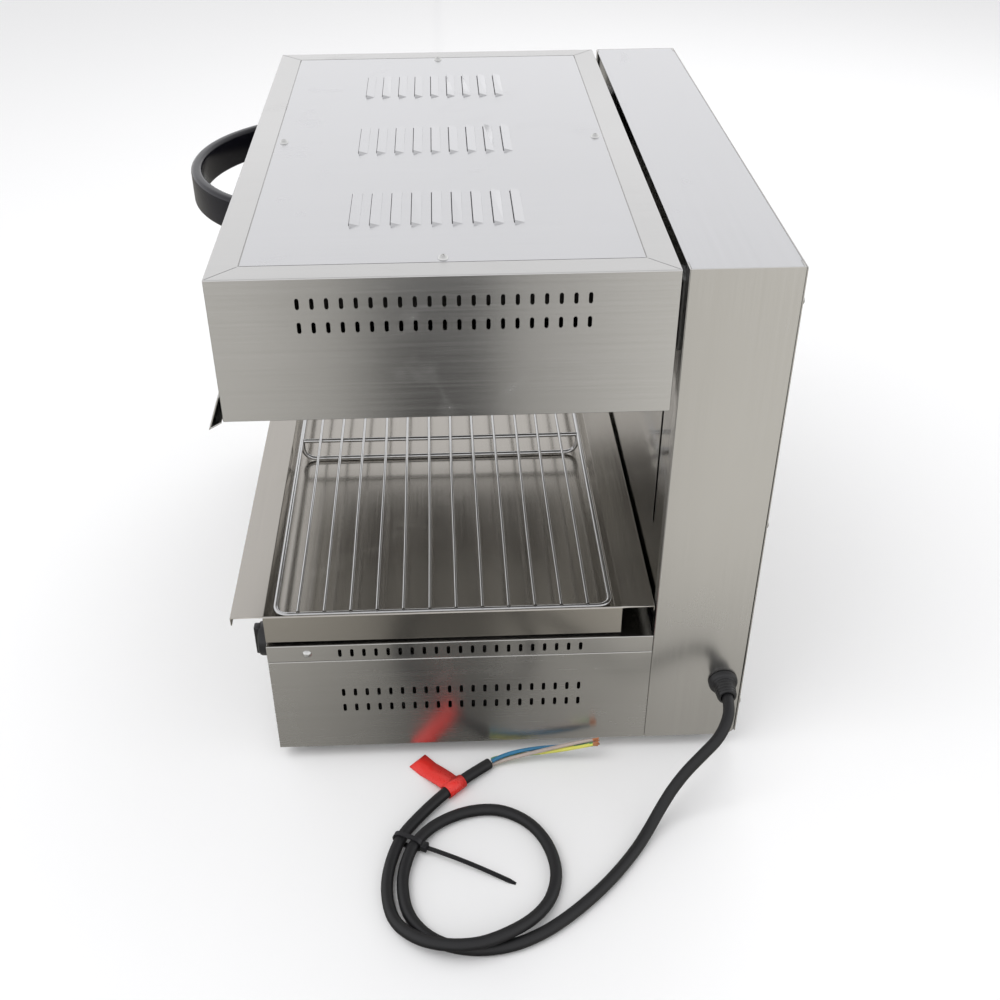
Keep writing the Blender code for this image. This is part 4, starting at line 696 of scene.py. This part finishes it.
def makeHandle(facts):
    low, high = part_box("hood_handle")
    reach = high[1] - low[1]
    halfSpan = (high[0] - low[0]) / 2
    radius = (halfSpan ** 2 + reach ** 2) / (2 * reach)
    centre = Vector((0, low[1] + radius, 0))
    bm = bmesh.new()
    bmesh.ops.create_grid(bm, x_segments=1, y_segments=1, size=0.5)
    for vert in bm.verts:
        y = centre.y - radius + facts["thickness"] * (vert.co.y + 0.5)
        vert.co = Vector((0, y, low[2] + (high[2] - low[2]) * (vert.co.x + 0.5)))
    corners = bm.verts[:]
    bmesh.ops.bevel(bm, geom=corners, offset=facts["round"], offset_type="OFFSET", segments=6,
                    profile=0.5, affect="VERTICES", material=-1)
    sweep = math.radians(facts["sweep"])
    bmesh.ops.rotate(bm, cent=centre, matrix=Matrix.Rotation(-sweep, 3, "Z"), verts=bm.verts)
    bmesh.ops.spin(bm, geom=bm.verts[:] + bm.edges[:] + bm.faces[:], cent=centre, axis=(0, 0, 1),
                   angle=2 * sweep, steps=72)
    bmesh.ops.bisect_plane(bm, geom=bm.verts[:] + bm.edges[:] + bm.faces[:], dist=0.00001,
                           plane_co=(0, high[1], 0), plane_no=(0, 1, 0), clear_outer=True)
    bmesh.ops.remove_doubles(bm, verts=bm.verts, dist=0.00002)
    rim = [e for e in bm.edges if e.is_boundary]
    bmesh.ops.holes_fill(bm, edges=rim, sides=0)
    bmesh.ops.recalc_face_normals(bm, faces=bm.faces)
    handle = newMesh("bowHandle", bm)
    mat = mouldedMaterial("handlePlastic", facts["color"], 0.22, 900, 0.05, 0.2)
    place(handle, "hood", mat, ["hood_handle"], "black_plastic", 40)


makeHandle(handleFacts)


# ---- screws with a cross recess

screwFacts = {"radius": 0.0043, "rise": 0.0029, "arm": 0.0021, "slot": 0.0007, "recess": 0.0007,
              "hoodInset": 0.031, "sideX": 0.2997, "stripDrop": 0.0095, "stripInset": 0.036,
              "coverInset": 0.007, "coverHeights": (0.053, 0.260, 0.470)}


def screwMesh(facts):
    bm = bmesh.new()
    radius = (facts["radius"] ** 2 + facts["rise"] ** 2) / (2 * facts["rise"])
    steps = 7
    top = math.acos((radius - facts["rise"]) / radius)
    profile = [Vector((radius * math.sin(top * (1 - k / steps)), 0, facts["rise"] - radius
                       + radius * math.cos(top * (1 - k / steps)))) for k in range(steps + 1)]
    profile = [Vector((facts["radius"], 0, -0.0005))] + profile
    verts = [bm.verts.new(p) for p in profile]
    edges = [bm.edges.new(pair) for pair in zip(verts, verts[1:])]
    bmesh.ops.spin(bm, geom=verts + edges, cent=(0, 0, 0), axis=(0, 0, 1), angle=2 * math.pi, steps=28,
                   use_merge=True)
    bmesh.ops.remove_doubles(bm, verts=bm.verts, dist=0.00002)
    bmesh.ops.holes_fill(bm, edges=[e for e in bm.edges if e.is_boundary], sides=0)
    bmesh.ops.recalc_face_normals(bm, faces=bm.faces)
    head = newMesh("screwHead", bm)
    cross = bmesh.new()
    base = facts["rise"] - facts["recess"]
    for turn in (0, math.pi / 2):
        verts = bmesh.ops.create_cube(cross, size=1.0)["verts"]
        bmesh.ops.scale(cross, vec=(2 * facts["arm"], facts["slot"], 0.004), verts=verts)
        bmesh.ops.translate(cross, vec=(0, 0, base + 0.002), verts=verts)
        bmesh.ops.rotate(cross, cent=(0, 0, 0), matrix=Matrix.Rotation(turn, 3, "Z"), verts=verts)
    tool = newMesh("screwCross", cross)
    mod = head.modifiers.new("recess", "BOOLEAN")
    mod.object = tool
    mod.operation = "DIFFERENCE"
    mod.use_self = True
    graph = bpy.context.evaluated_depsgraph_get()
    mesh = bpy.data.meshes.new_from_object(head.evaluated_get(graph))
    bpy.data.objects.remove(head, do_unlink=True)
    bpy.data.objects.remove(tool, do_unlink=True)
    return mesh


def makeScrews(facts):
    mesh = screwMesh(facts)
    mat = steelMaterial("screwSteel", (0.70, 0.70, 0.69), 0.24, "x", 0.04, 0.06)
    lowTop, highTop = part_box("hood_skirt")
    inset = facts["hoodInset"]
    middle = (lowTop[1] + highTop[1]) / 2
    hoodSpots = [(0, lowTop[1] + inset), (0, highTop[1] - inset), (highTop[0] - inset, middle),
                 (lowTop[0] + inset, middle)]
    up = Matrix.Identity(3)
    for i, (x, y) in enumerate(hoodSpots):
        putScrew("hoodScrew" + str(i), mesh, (x, y, highTop[2]), up, "hood", mat)
    lowBase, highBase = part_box("base_top_cover")
    for i, sign in enumerate((1, -1)):
        spot = (sign * facts["sideX"], lowBase[1] + facts["stripInset"], highBase[2] - facts["stripDrop"])
        putScrew("baseScrew" + str(i), mesh, spot, Matrix.Rotation(sign * math.pi / 2, 3, "Y"), "base", mat)
    lowRear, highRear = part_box("column_rear_cover")
    rearTurn = Matrix.Rotation(-math.pi / 2, 3, "X")
    sides = (highRear[0] - facts["coverInset"], lowRear[0] + facts["coverInset"])
    rearSpots = [(x, highRear[1] - 0.0020, z) for x in sides for z in facts["coverHeights"]]
    for i, spot in enumerate(rearSpots):
        putScrew("rearScrew" + str(i), mesh, spot, rearTurn, "base", mat)


def putScrew(name, mesh, spot, turn, body, mat):
    bm = bmesh.new()
    bm.from_mesh(mesh)
    twist = Matrix.Rotation(random.uniform(0, math.pi / 2), 3, "Z")
    bmesh.ops.transform(bm, matrix=(Matrix.Translation(spot) @ (turn @ twist).to_4x4()), verts=bm.verts)
    place(newMesh(name, bm), body, mat, smooth=30)


makeScrews(screwFacts)
print("hood handle and screws made")


# ---- wire rack

rackFacts = {"frameWire": 0.0025, "thinWire": 0.0015, "braceWire": 0.0023, "corner": 0.012, "wires": 12,
             "endMargin": 0.021, "wander": 0.0007, "braceBend": 0.013, "braceInset": 0.013, "leg": 0.0225}


def bend(centre, radius, fromDeg, toDeg, steps):
    spots = []
    for i in range(steps + 1):
        angle = math.radians(fromDeg + (toDeg - fromDeg) * i / steps)
        spots.append((centre[0] + radius * math.cos(angle), centre[1] + radius * math.sin(angle)))
    return spots


def makeRack(facts):
    low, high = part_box("wire_rack")
    wire = facts["frameWire"]
    halfX = high[0] - wire
    middleY = (low[1] + high[1]) / 2
    halfY = (high[1] - low[1]) / 2 - wire
    frameZ = low[2] + wire
    chrome = steelMaterial("rackChrome", (0.62, 0.62, 0.62), 0.14, "x", 0.02, 0.04)
    loop = []
    corner = facts["corner"]
    for turn, (su, sv) in enumerate(((1, 1), (-1, 1), (-1, -1), (1, -1))):
        centre = (su * (halfX - corner), sv * (halfY - corner))
        loop += bend(centre, corner, 90 * turn, 90 * turn + 90, 8)
    pieces = [meshFrom(tube("frameWire", [(u, middleY + v, frameZ) for u, v in loop], wire, 5, closed=True))]
    crossPoints = [(0, middleY - halfY, frameZ), (0, middleY, frameZ - 0.0004), (0, middleY + halfY, frameZ)]
    pieces.append(meshFrom(tube("crossWire", crossPoints, facts["braceWire"], 4)))
    thinZ = frameZ + wire + facts["thinWire"] - 0.0006
    pitch = (2 * halfY - 2 * facts["endMargin"]) / (facts["wires"] - 1)
    for i in range(facts["wires"]):
        y = middleY + (i - (facts["wires"] - 1) / 2) * pitch
        phase = random.uniform(0, 6)
        points = []
        count = 26
        for k in range(count + 1):
            share = k / count
            x = (-1 + 2 * share) * (halfX + 0.0008)
            sway = facts["wander"] * math.sin(phase + share * random.uniform(4.8, 5.2))
            sway *= math.sin(math.pi * share)
            dip = -0.0006 * abs(math.sin(math.pi * share)) * random.uniform(0.7, 1.0)
            points.append((x, y + sway, thinZ + dip * (0.5 + 0.5 * math.cos(4 * math.pi * share))))
        pieces.append(meshFrom(tube("thinWire", points, facts["thinWire"], 3)))
        for side in (-1, 1):
            pieces.append(weldBead((side * (halfX - 0.0002), y, thinZ - 0.0014)))
    rack = joined("chromeRack", pieces)
    place(rack, "rack", chrome, ["wire_rack"], "rack_chrome", 45)
    bendZ = frameZ - facts["leg"] + facts["braceBend"]
    reach = halfY - 0.001
    sideX = halfX - facts["braceInset"]
    for name, x in (("right", sideX), ("middle", 0), ("left", -sideX)):
        front = bend((middleY - reach + facts["braceBend"], bendZ), facts["braceBend"], 180, 270, 8)
        rear = bend((middleY + reach - facts["braceBend"], bendZ), facts["braceBend"], 270, 360, 8)
        top = frameZ - wire - 0.0001
        outline = [(middleY - reach, top), *front, *rear, (middleY + reach, top)]
        brace = meshFrom(tube("chromeBrace_" + name, [(x, y, z) for y, z in outline], facts["braceWire"], 5))
        place(brace, "rack", chrome, ["rack_brace_" + name], "rack_chrome", 45)


def weldBead(spot):
    bm = bmesh.new()
    bmesh.ops.create_icosphere(bm, subdivisions=1, radius=0.0019)
    bmesh.ops.scale(bm, vec=(1.0, 1.15, 0.75), verts=bm.verts)
    bmesh.ops.translate(bm, vec=spot, verts=bm.verts)
    return newMesh("weldBead", bm)


makeRack(rackFacts)
print("rack made")


# ---- knobs, lamps and feet

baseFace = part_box("base_front_panel")[0][1]
knobFacts = {"radius": 0.021, "waist": 0.0175, "bar": 0.0045, "back": -0.18905, "depth": 0.021,
             "color": (0.012, 0.012, 0.013)}


def makeKnob(side, facts):
    low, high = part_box("knob_" + side)
    centreX = (low[0] + high[0]) / 2
    centreZ = (low[2] + high[2]) / 2
    back = facts["back"]
    face = back - facts["depth"]
    radius = facts["radius"]
    waist = facts["waist"]
    profile = [(0.0, 0.0), (radius - 0.0008, 0.0), (radius, -0.0010), (radius, -0.0040),
               (radius - 0.0012, -0.0052), (waist, -0.0066), (waist - 0.0004, -0.0180),
               (waist - 0.0014, -0.0200), (waist - 0.0034, -0.0210), (0.0, -0.0210)]
    knob = turnedPiece("turnKnob_" + side, profile, (centreX, back, centreZ), "Y", 56)
    bm = bmesh.new()
    bm.from_mesh(knob.data)
    bpy.data.objects.remove(knob, do_unlink=True)
    bar = facts["bar"]
    roundedBox(bm, (centreX - bar, face - 0.004, centreZ - 0.0168), (centreX + bar, face + 0.004,
               centreZ + 0.0168), 0.0016, 3)
    knob = newMesh("turnKnob_" + side, bm)
    mat = mouldedMaterial("knobPlastic_" + side, facts["color"], 0.33, 1200, 0.1, 0.25)
    place(knob, "knob_" + side, mat, ["knob_" + side], "black_plastic", 30)
    bm = bmesh.new()
    roundedBox(bm, (centreX - 0.0007, face - 0.0042, centreZ + 0.004), (centreX + 0.0007, face - 0.0038,
               centreZ + 0.0155), 0.0001, 1)
    pointer = newMesh("knobPointer_" + side, bm)
    paint = mouldedMaterial("pointerPaint_" + side, (0.75, 0.75, 0.73), 0.5, 1500, 0.1, 0.05)
    place(pointer, "knob_" + side, paint)
    bm = bmesh.new()
    for k in range(10):
        angle = math.radians(90 - 30 * k)
        turn = Matrix.Translation((centreX, baseFace, centreZ)) @ Matrix.Rotation(-angle, 4, "Y")
        end = 0.0285 if k % 3 else 0.0300
        roundedBox(bm, (0.0245, -0.00015, -0.0005), (end, 0.0002, 0.0005), 0.00005, 1, turn)
    ticks = newMesh("dialTicks_" + side, bm)
    paint = mouldedMaterial("dialPaint_" + side, (0.03, 0.03, 0.03), 0.5, 1500, 0.1, 0.2)
    place(ticks, "base", paint, smooth=None)


lampFacts = {"red": (0.55, 0.02, 0.015), "green": (0.02, 0.28, 0.05), "bezel": 0.0068}


def makeLamp(side, color, facts):
    low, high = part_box("indicator_lamp_" + side)
    centre = ((low[0] + high[0]) / 2, baseFace, (low[2] + high[2]) / 2)
    bezel = facts["bezel"]
    ring = [(0.0046, 0.0), (bezel, 0.0), (bezel, -0.0010), (bezel - 0.0009, -0.0019), (0.0052, -0.0019),
            (0.0046, -0.0012), (0.0046, 0.0)]
    ringPiece = turnedPiece("lampBezel_" + side, ring, centre, "Y", 40)
    place(ringPiece, "base", steelMaterial("bezelChrome_" + side, (0.75, 0.75, 0.76), 0.18, "x", 0.02, 0.05))
    lens = [(0.0, 0.012), (0.0044, 0.012), (0.0044, -0.0018)]
    for k in range(1, 8):
        angle = math.radians(90 * k / 7)
        lens.append((0.0044 * math.cos(angle), -0.0018 - 0.0022 * math.sin(angle)))
    lensPiece = turnedPiece("lampLens_" + side, lens, centre, "Y", 40)
    mat = mouldedMaterial("lampTint_" + side, color, 0.16, 600, 0.04, 0.15, coat=0.6)
    place(lensPiece, "base", mat, ["indicator_lamp_" + side], "lamp_red" if side == "right" else "lamp_green")


def makeFoot(node):
    low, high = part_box(node)
    centre = ((low[0] + high[0]) / 2, (low[1] + high[1]) / 2, low[2])
    radius = (high[0] - low[0]) / 2
    tall = high[2] - low[2]
    profile = [(0.0, 0.0), (0.0045, 0.0), (0.0050, 0.0012), (0.0075, 0.0012), (0.0080, 0.0),
               (radius * 0.80, 0.0), (radius * 0.85, 0.0007), (radius * 0.975, tall - 0.0022),
               (radius, tall - 0.0016), (radius, tall - 0.0003), (radius - 0.0004, tall), (0.0, tall)]
    foot = turnedPiece(node + "_cup", profile, centre, "Z", 44)
    mat = mouldedMaterial(node + "_rubber", (0.020, 0.020, 0.021), 0.62, 1000, 0.25, 0.3)
    place(foot, "base", mat, [node], "foot_rubber", 32)


for side in ("left", "right"):
    makeKnob(side, knobFacts)
makeLamp("right", lampFacts["red"], lampFacts)
makeLamp("left", lampFacts["green"], lampFacts)
for corner in ("front_right", "front_left", "rear_right", "rear_left"):
    makeFoot("foot_" + corner)
print("controls and feet made")


# ---- sheet metal kept from the frame, with softened folds and its own finish

def softenFolds(node, width):
    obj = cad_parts[node]
    weld = obj.modifiers.new("weld", "WELD")
    weld.merge_threshold = 0.00002
    fold = obj.modifiers.new("fold", "BEVEL")
    fold.width = width
    fold.segments = 2
    fold.limit_method = "ANGLE"
    fold.angle_limit = math.radians(38)
    fold.use_clamp_overlap = True


def foldedSheet(node, body, mat, radius):
    # the node's own sheet with a small round along its long outer folds only, so the slots keep crisp rims
    bm = bmesh.new()
    bm.from_mesh(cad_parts[node].data)
    bmesh.ops.remove_doubles(bm, verts=bm.verts, dist=0.00002)
    bmesh.ops.dissolve_limit(bm, angle_limit=math.radians(0.5), verts=bm.verts, edges=bm.edges)
    folds = []
    for edge in bm.edges:
        if len(edge.link_faces) != 2 or edge.calc_length() < 0.040:
            continue
        broad = all(face.calc_area() > 0.0011 for face in edge.link_faces)
        if broad and math.degrees(edge.calc_face_angle_signed(0)) > 40:
            folds.append(edge)
    bmesh.ops.bevel(bm, geom=folds, offset=radius, offset_type="OFFSET", segments=3, profile=0.5,
                    affect="EDGES", clamp_overlap=True, material=-1)
    bmesh.ops.triangulate(bm, faces=[f for f in bm.faces if len(f.verts) > 4])
    place(newMesh(node + "_folded", bm), body, mat, [node], smooth=None)


def finishNode(node, mat):
    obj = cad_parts[node]
    obj.data.materials.clear()
    obj.data.materials.append(mat)


sheetFacts = {
    "hood_skirt": {"way": "y", "rough": 0.22, "color": (0.64, 0.635, 0.625), "turned": 0.8,
            "fold": 0.0009, "body": "hood"},
    "hood_top_panel": {"way": "y", "rough": 0.24, "color": (0.66, 0.66, 0.67), "fold": 0.0003},
    "hood_deflector": {"way": "x", "rough": 0.24, "color": (0.66, 0.655, 0.64), "fold": 0.0003},
    "base_top_cover": {"way": "y", "rough": 0.22, "color": (0.62, 0.61, 0.59), "turned": 0.8,
            "fold": 0.0008, "body": "base"},
    "base_side_right": {"way": "y", "rough": 0.27, "color": (0.61, 0.60, 0.58), "turned": 0.5,
            "fold": 0.0008, "body": "base"},
    "base_side_left": {"way": "y", "rough": 0.27, "color": (0.61, 0.60, 0.58), "turned": 0.5,
            "fold": 0.0008, "body": "base"},
    "base_front_panel": {"way": "x", "rough": 0.22, "color": (0.62, 0.61, 0.59), "turned": 0.8,
            "fold": 0.0003},
    "column_side_right": {"way": "z", "rough": 0.24, "color": (0.63, 0.62, 0.60), "turned": 0.5,
            "fold": 0.0009, "body": "base"},
    "column_side_left": {"way": "z", "rough": 0.24, "color": (0.63, 0.62, 0.60), "turned": 0.5,
            "fold": 0.0009, "body": "base"},
    "column_top_cover": {"way": "x", "rough": 0.24, "color": (0.65, 0.65, 0.66), "fold": 0.0003},
    "column_front_panel": {"way": "z", "rough": 0.12, "color": (0.50, 0.49, 0.47), "fold": 0.0003},
    "column_rear_cover": {"way": "z", "rough": 0.26, "color": (0.60, 0.59, 0.57), "turned": 0.5,
            "fold": 0.0004},
    "drip_tray": {"way": "x", "rough": 0.20, "color": (0.50, 0.475, 0.435), "fold": 0.0005},
}

for node, facts in sheetFacts.items():
    turned = facts.get("turned", 0.0)
    satin = steelMaterial(node + "_satin", facts["color"], facts["rough"], facts["way"], turned=turned)
    if "body" in facts:
        foldedSheet(node, facts["body"], satin, facts["fold"])
    else:
        finishNode(node, satin)
        softenFolds(node, facts["fold"])
print("sheet metal finished")


# painted shade: a dark strip in front of every louvre's raised edge, where its mouth lies in shadow; and the
# seams where the hood's top flanges meet
louvreFacts = {"count": 9, "pitch": 0.0165, "rowPitch": 0.169, "length": 0.069, "width": 0.0008,
               "depth": 0.008, "flange": 0.023}


def makeLouvreShadeAndSeams(facts):
    low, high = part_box("hood_skirt")
    top = high[2]
    middle = (low[1] + high[1]) / 2
    bm = bmesh.new()
    # painted shade: thin near-black strips on the top panel stand in for the shadow in each louvre's mouth
    for row in (-1, 0, 1):
        for i in range(facts["count"]):
            y = middle + (i - (facts["count"] - 1) / 2) * facts["pitch"] - facts["depth"]
            y -= facts["width"] / 2
            verts = bmesh.ops.create_cube(bm, size=1.0)["verts"]
            bmesh.ops.scale(bm, vec=(facts["length"], facts["width"], 0.0004), verts=verts)
            bmesh.ops.translate(bm, vec=(row * facts["rowPitch"], y, top - 0.0001), verts=verts)
    lines = newMesh("paintedLouvreShade", bm)
    shade = mouldedMaterial("louvreShade", (0.035, 0.035, 0.038), 0.8, 900, 0.05, 0.3)
    place(lines, "hood", shade, smooth=None)
    seams = bmesh.new()
    flange = facts["flange"]
    for signX in (-1, 1):
        for y, signY in ((low[1], 1), (high[1], -1)):
            verts = bmesh.ops.create_cube(seams, size=1.0)["verts"]
            bmesh.ops.scale(seams, vec=(flange * 1.30, 0.0005, 0.0003), verts=verts)
            turn = math.atan2(signY, -signX)
            bmesh.ops.rotate(seams, cent=(0, 0, 0), matrix=Matrix.Rotation(turn, 3, "Z"), verts=verts)
            spot = (signX * (high[0] - flange / 2 - 0.0004), y + signY * (flange / 2 + 0.0004), top - 0.0001)
            bmesh.ops.translate(seams, vec=spot, verts=verts)
    mitres = newMesh("flangeSeams", seams)
    shade = mouldedMaterial("seamShade", (0.16, 0.16, 0.16), 0.6, 900, 0.05, 0.3, metallic=0.6)
    place(mitres, "hood", shade, smooth=None)


makeLouvreShadeAndSeams(louvreFacts)


# ---- what is under the hood and inside the column

def refined(node, body, mat, slot):
    # the node's own shape, merged and shaded round
    bm = bmesh.new()
    bm.from_mesh(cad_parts[node].data)
    bmesh.ops.remove_doubles(bm, verts=bm.verts, dist=0.00002)
    place(newMesh(node + "_fine", bm), body, mat, [node], slot, 40)


insideColors = {"reflector": (0.68, 0.68, 0.68), "zinc": (0.50, 0.51, 0.52), "shaft": (0.66, 0.66, 0.67)}


def paintShadeOnLinerOutside(mat, node):
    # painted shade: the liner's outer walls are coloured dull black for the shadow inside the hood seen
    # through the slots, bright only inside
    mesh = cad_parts[node].data
    walls = [v.co for v in mesh.vertices if v.co.z > 0.010]
    halfX = max(abs(co.x) for co in walls) - 0.0003
    halfY = max(abs(co.y) for co in walls) - 0.0003
    tree = mat.node_tree
    shader = tree.nodes["Principled BSDF"]
    coord = tree.nodes.new("ShaderNodeTexCoord")
    split = tree.nodes.new("ShaderNodeSeparateXYZ")
    tree.links.new(coord.outputs["Object"], split.inputs[0])
    pastX = maths(tree, "GREATER_THAN", maths(tree, "ABSOLUTE", split.outputs["X"]), halfX)
    pastY = maths(tree, "GREATER_THAN", maths(tree, "ABSOLUTE", split.outputs["Y"]), halfY)
    above = maths(tree, "GREATER_THAN", split.outputs["Z"], 0.002)
    # painted shade: outer walls above the flange turn near black and lose their metal
    paintedShade = maths(tree, "MULTIPLY", maths(tree, "MAXIMUM", pastX, pastY), above)
    steel = shader.inputs["Base Color"].links[0].from_socket
    blend = tint(tree, paintedShade, (0, 0, 0), (0.012, 0.012, 0.012))
    tree.links.new(steel, blend.node.inputs[6])
    tree.links.new(blend, shader.inputs["Base Color"])
    tree.links.new(maths(tree, "SUBTRACT", 1.0, paintedShade), shader.inputs["Metallic"])
    return mat


bright = steelMaterial("reflectorBright", insideColors["reflector"], 0.18, "x")
finishNode("heat_reflector", paintShadeOnLinerOutside(bright, "heat_reflector"))
softenFolds("heat_reflector", 0.0004)
for node in ("chassis_floor", "shaft_bracket_left", "shaft_bracket_right", "element_support_left",
             "element_support_right", "lift_carriage_left", "lift_carriage_right"):
    zinc = mouldedMaterial(node + "_zinc", insideColors["zinc"], 0.42, 300, 0.15, 0.12, metallic=1.0)
    finishNode(node, zinc)
# painted shade: the blanket is coloured dark for the shadow it lies in inside the hood
wool = mouldedMaterial("woolBlanket", (0.085, 0.08, 0.07), 0.92, 420, 0.8, 0.2)
finishNode("insulation_blanket", wool)
for side in ("left", "right"):
    element = mouldedMaterial("elementSheath_" + side, (0.13, 0.12, 0.115), 0.46, 800, 0.2, 0.3, metallic=0.9)
    refined("heating_element_" + side, "hood", element, "element_sheath")
    rod = steelMaterial("rodChrome_" + side, (0.72, 0.72, 0.73), 0.14, "z", 0.02, 0.04)
    refined("guide_rod_" + side, "base", rod, "rod_chrome")
    chain = mouldedMaterial("chainOiled_" + side, (0.11, 0.11, 0.115), 0.4, 700, 0.3, 0.3, metallic=0.9)
    refined("lift_chain_" + side, "base", chain, "chain_steel")
    wheel = mouldedMaterial("wheelZinc_" + side, insideColors["zinc"], 0.38, 400, 0.15, 0.12, metallic=1.0)
    refined("sprocket_" + side, "lift_shaft", wheel, "zinc_steel")
    refined("chain_idler_" + side, "idler_" + side, wheel, "zinc_steel")
    body = mouldedMaterial("regulatorBody_" + side, (0.62, 0.60, 0.54), 0.55, 900, 0.2, 0.08)
    finishNode("heat_regulator_" + side, body)
shaft = steelMaterial("shaftDrawn", insideColors["shaft"], 0.22, "x", 0.03, 0.05)
refined("lift_shaft", "lift_shaft", shaft, "shaft_steel")
refined("idler_axle", "base", shaft, "shaft_steel")
castIron = mouldedMaterial("castWeight", (0.075, 0.075, 0.08), 0.68, 260, 0.7, 0.3, metallic=0.4)
finishNode("counterweight", castIron)
finishNode("terminal_block", mouldedMaterial("terminalBody", (0.70, 0.68, 0.62), 0.5, 900, 0.2, 0.06))
# painted shade: the rest frame is coloured near black for the shadowed gap under the tray
finishNode("tray_rest_frame", mouldedMaterial("restStrip", (0.035, 0.035, 0.035), 0.6, 900, 0.3, 0.25))
print("inside pieces finished")
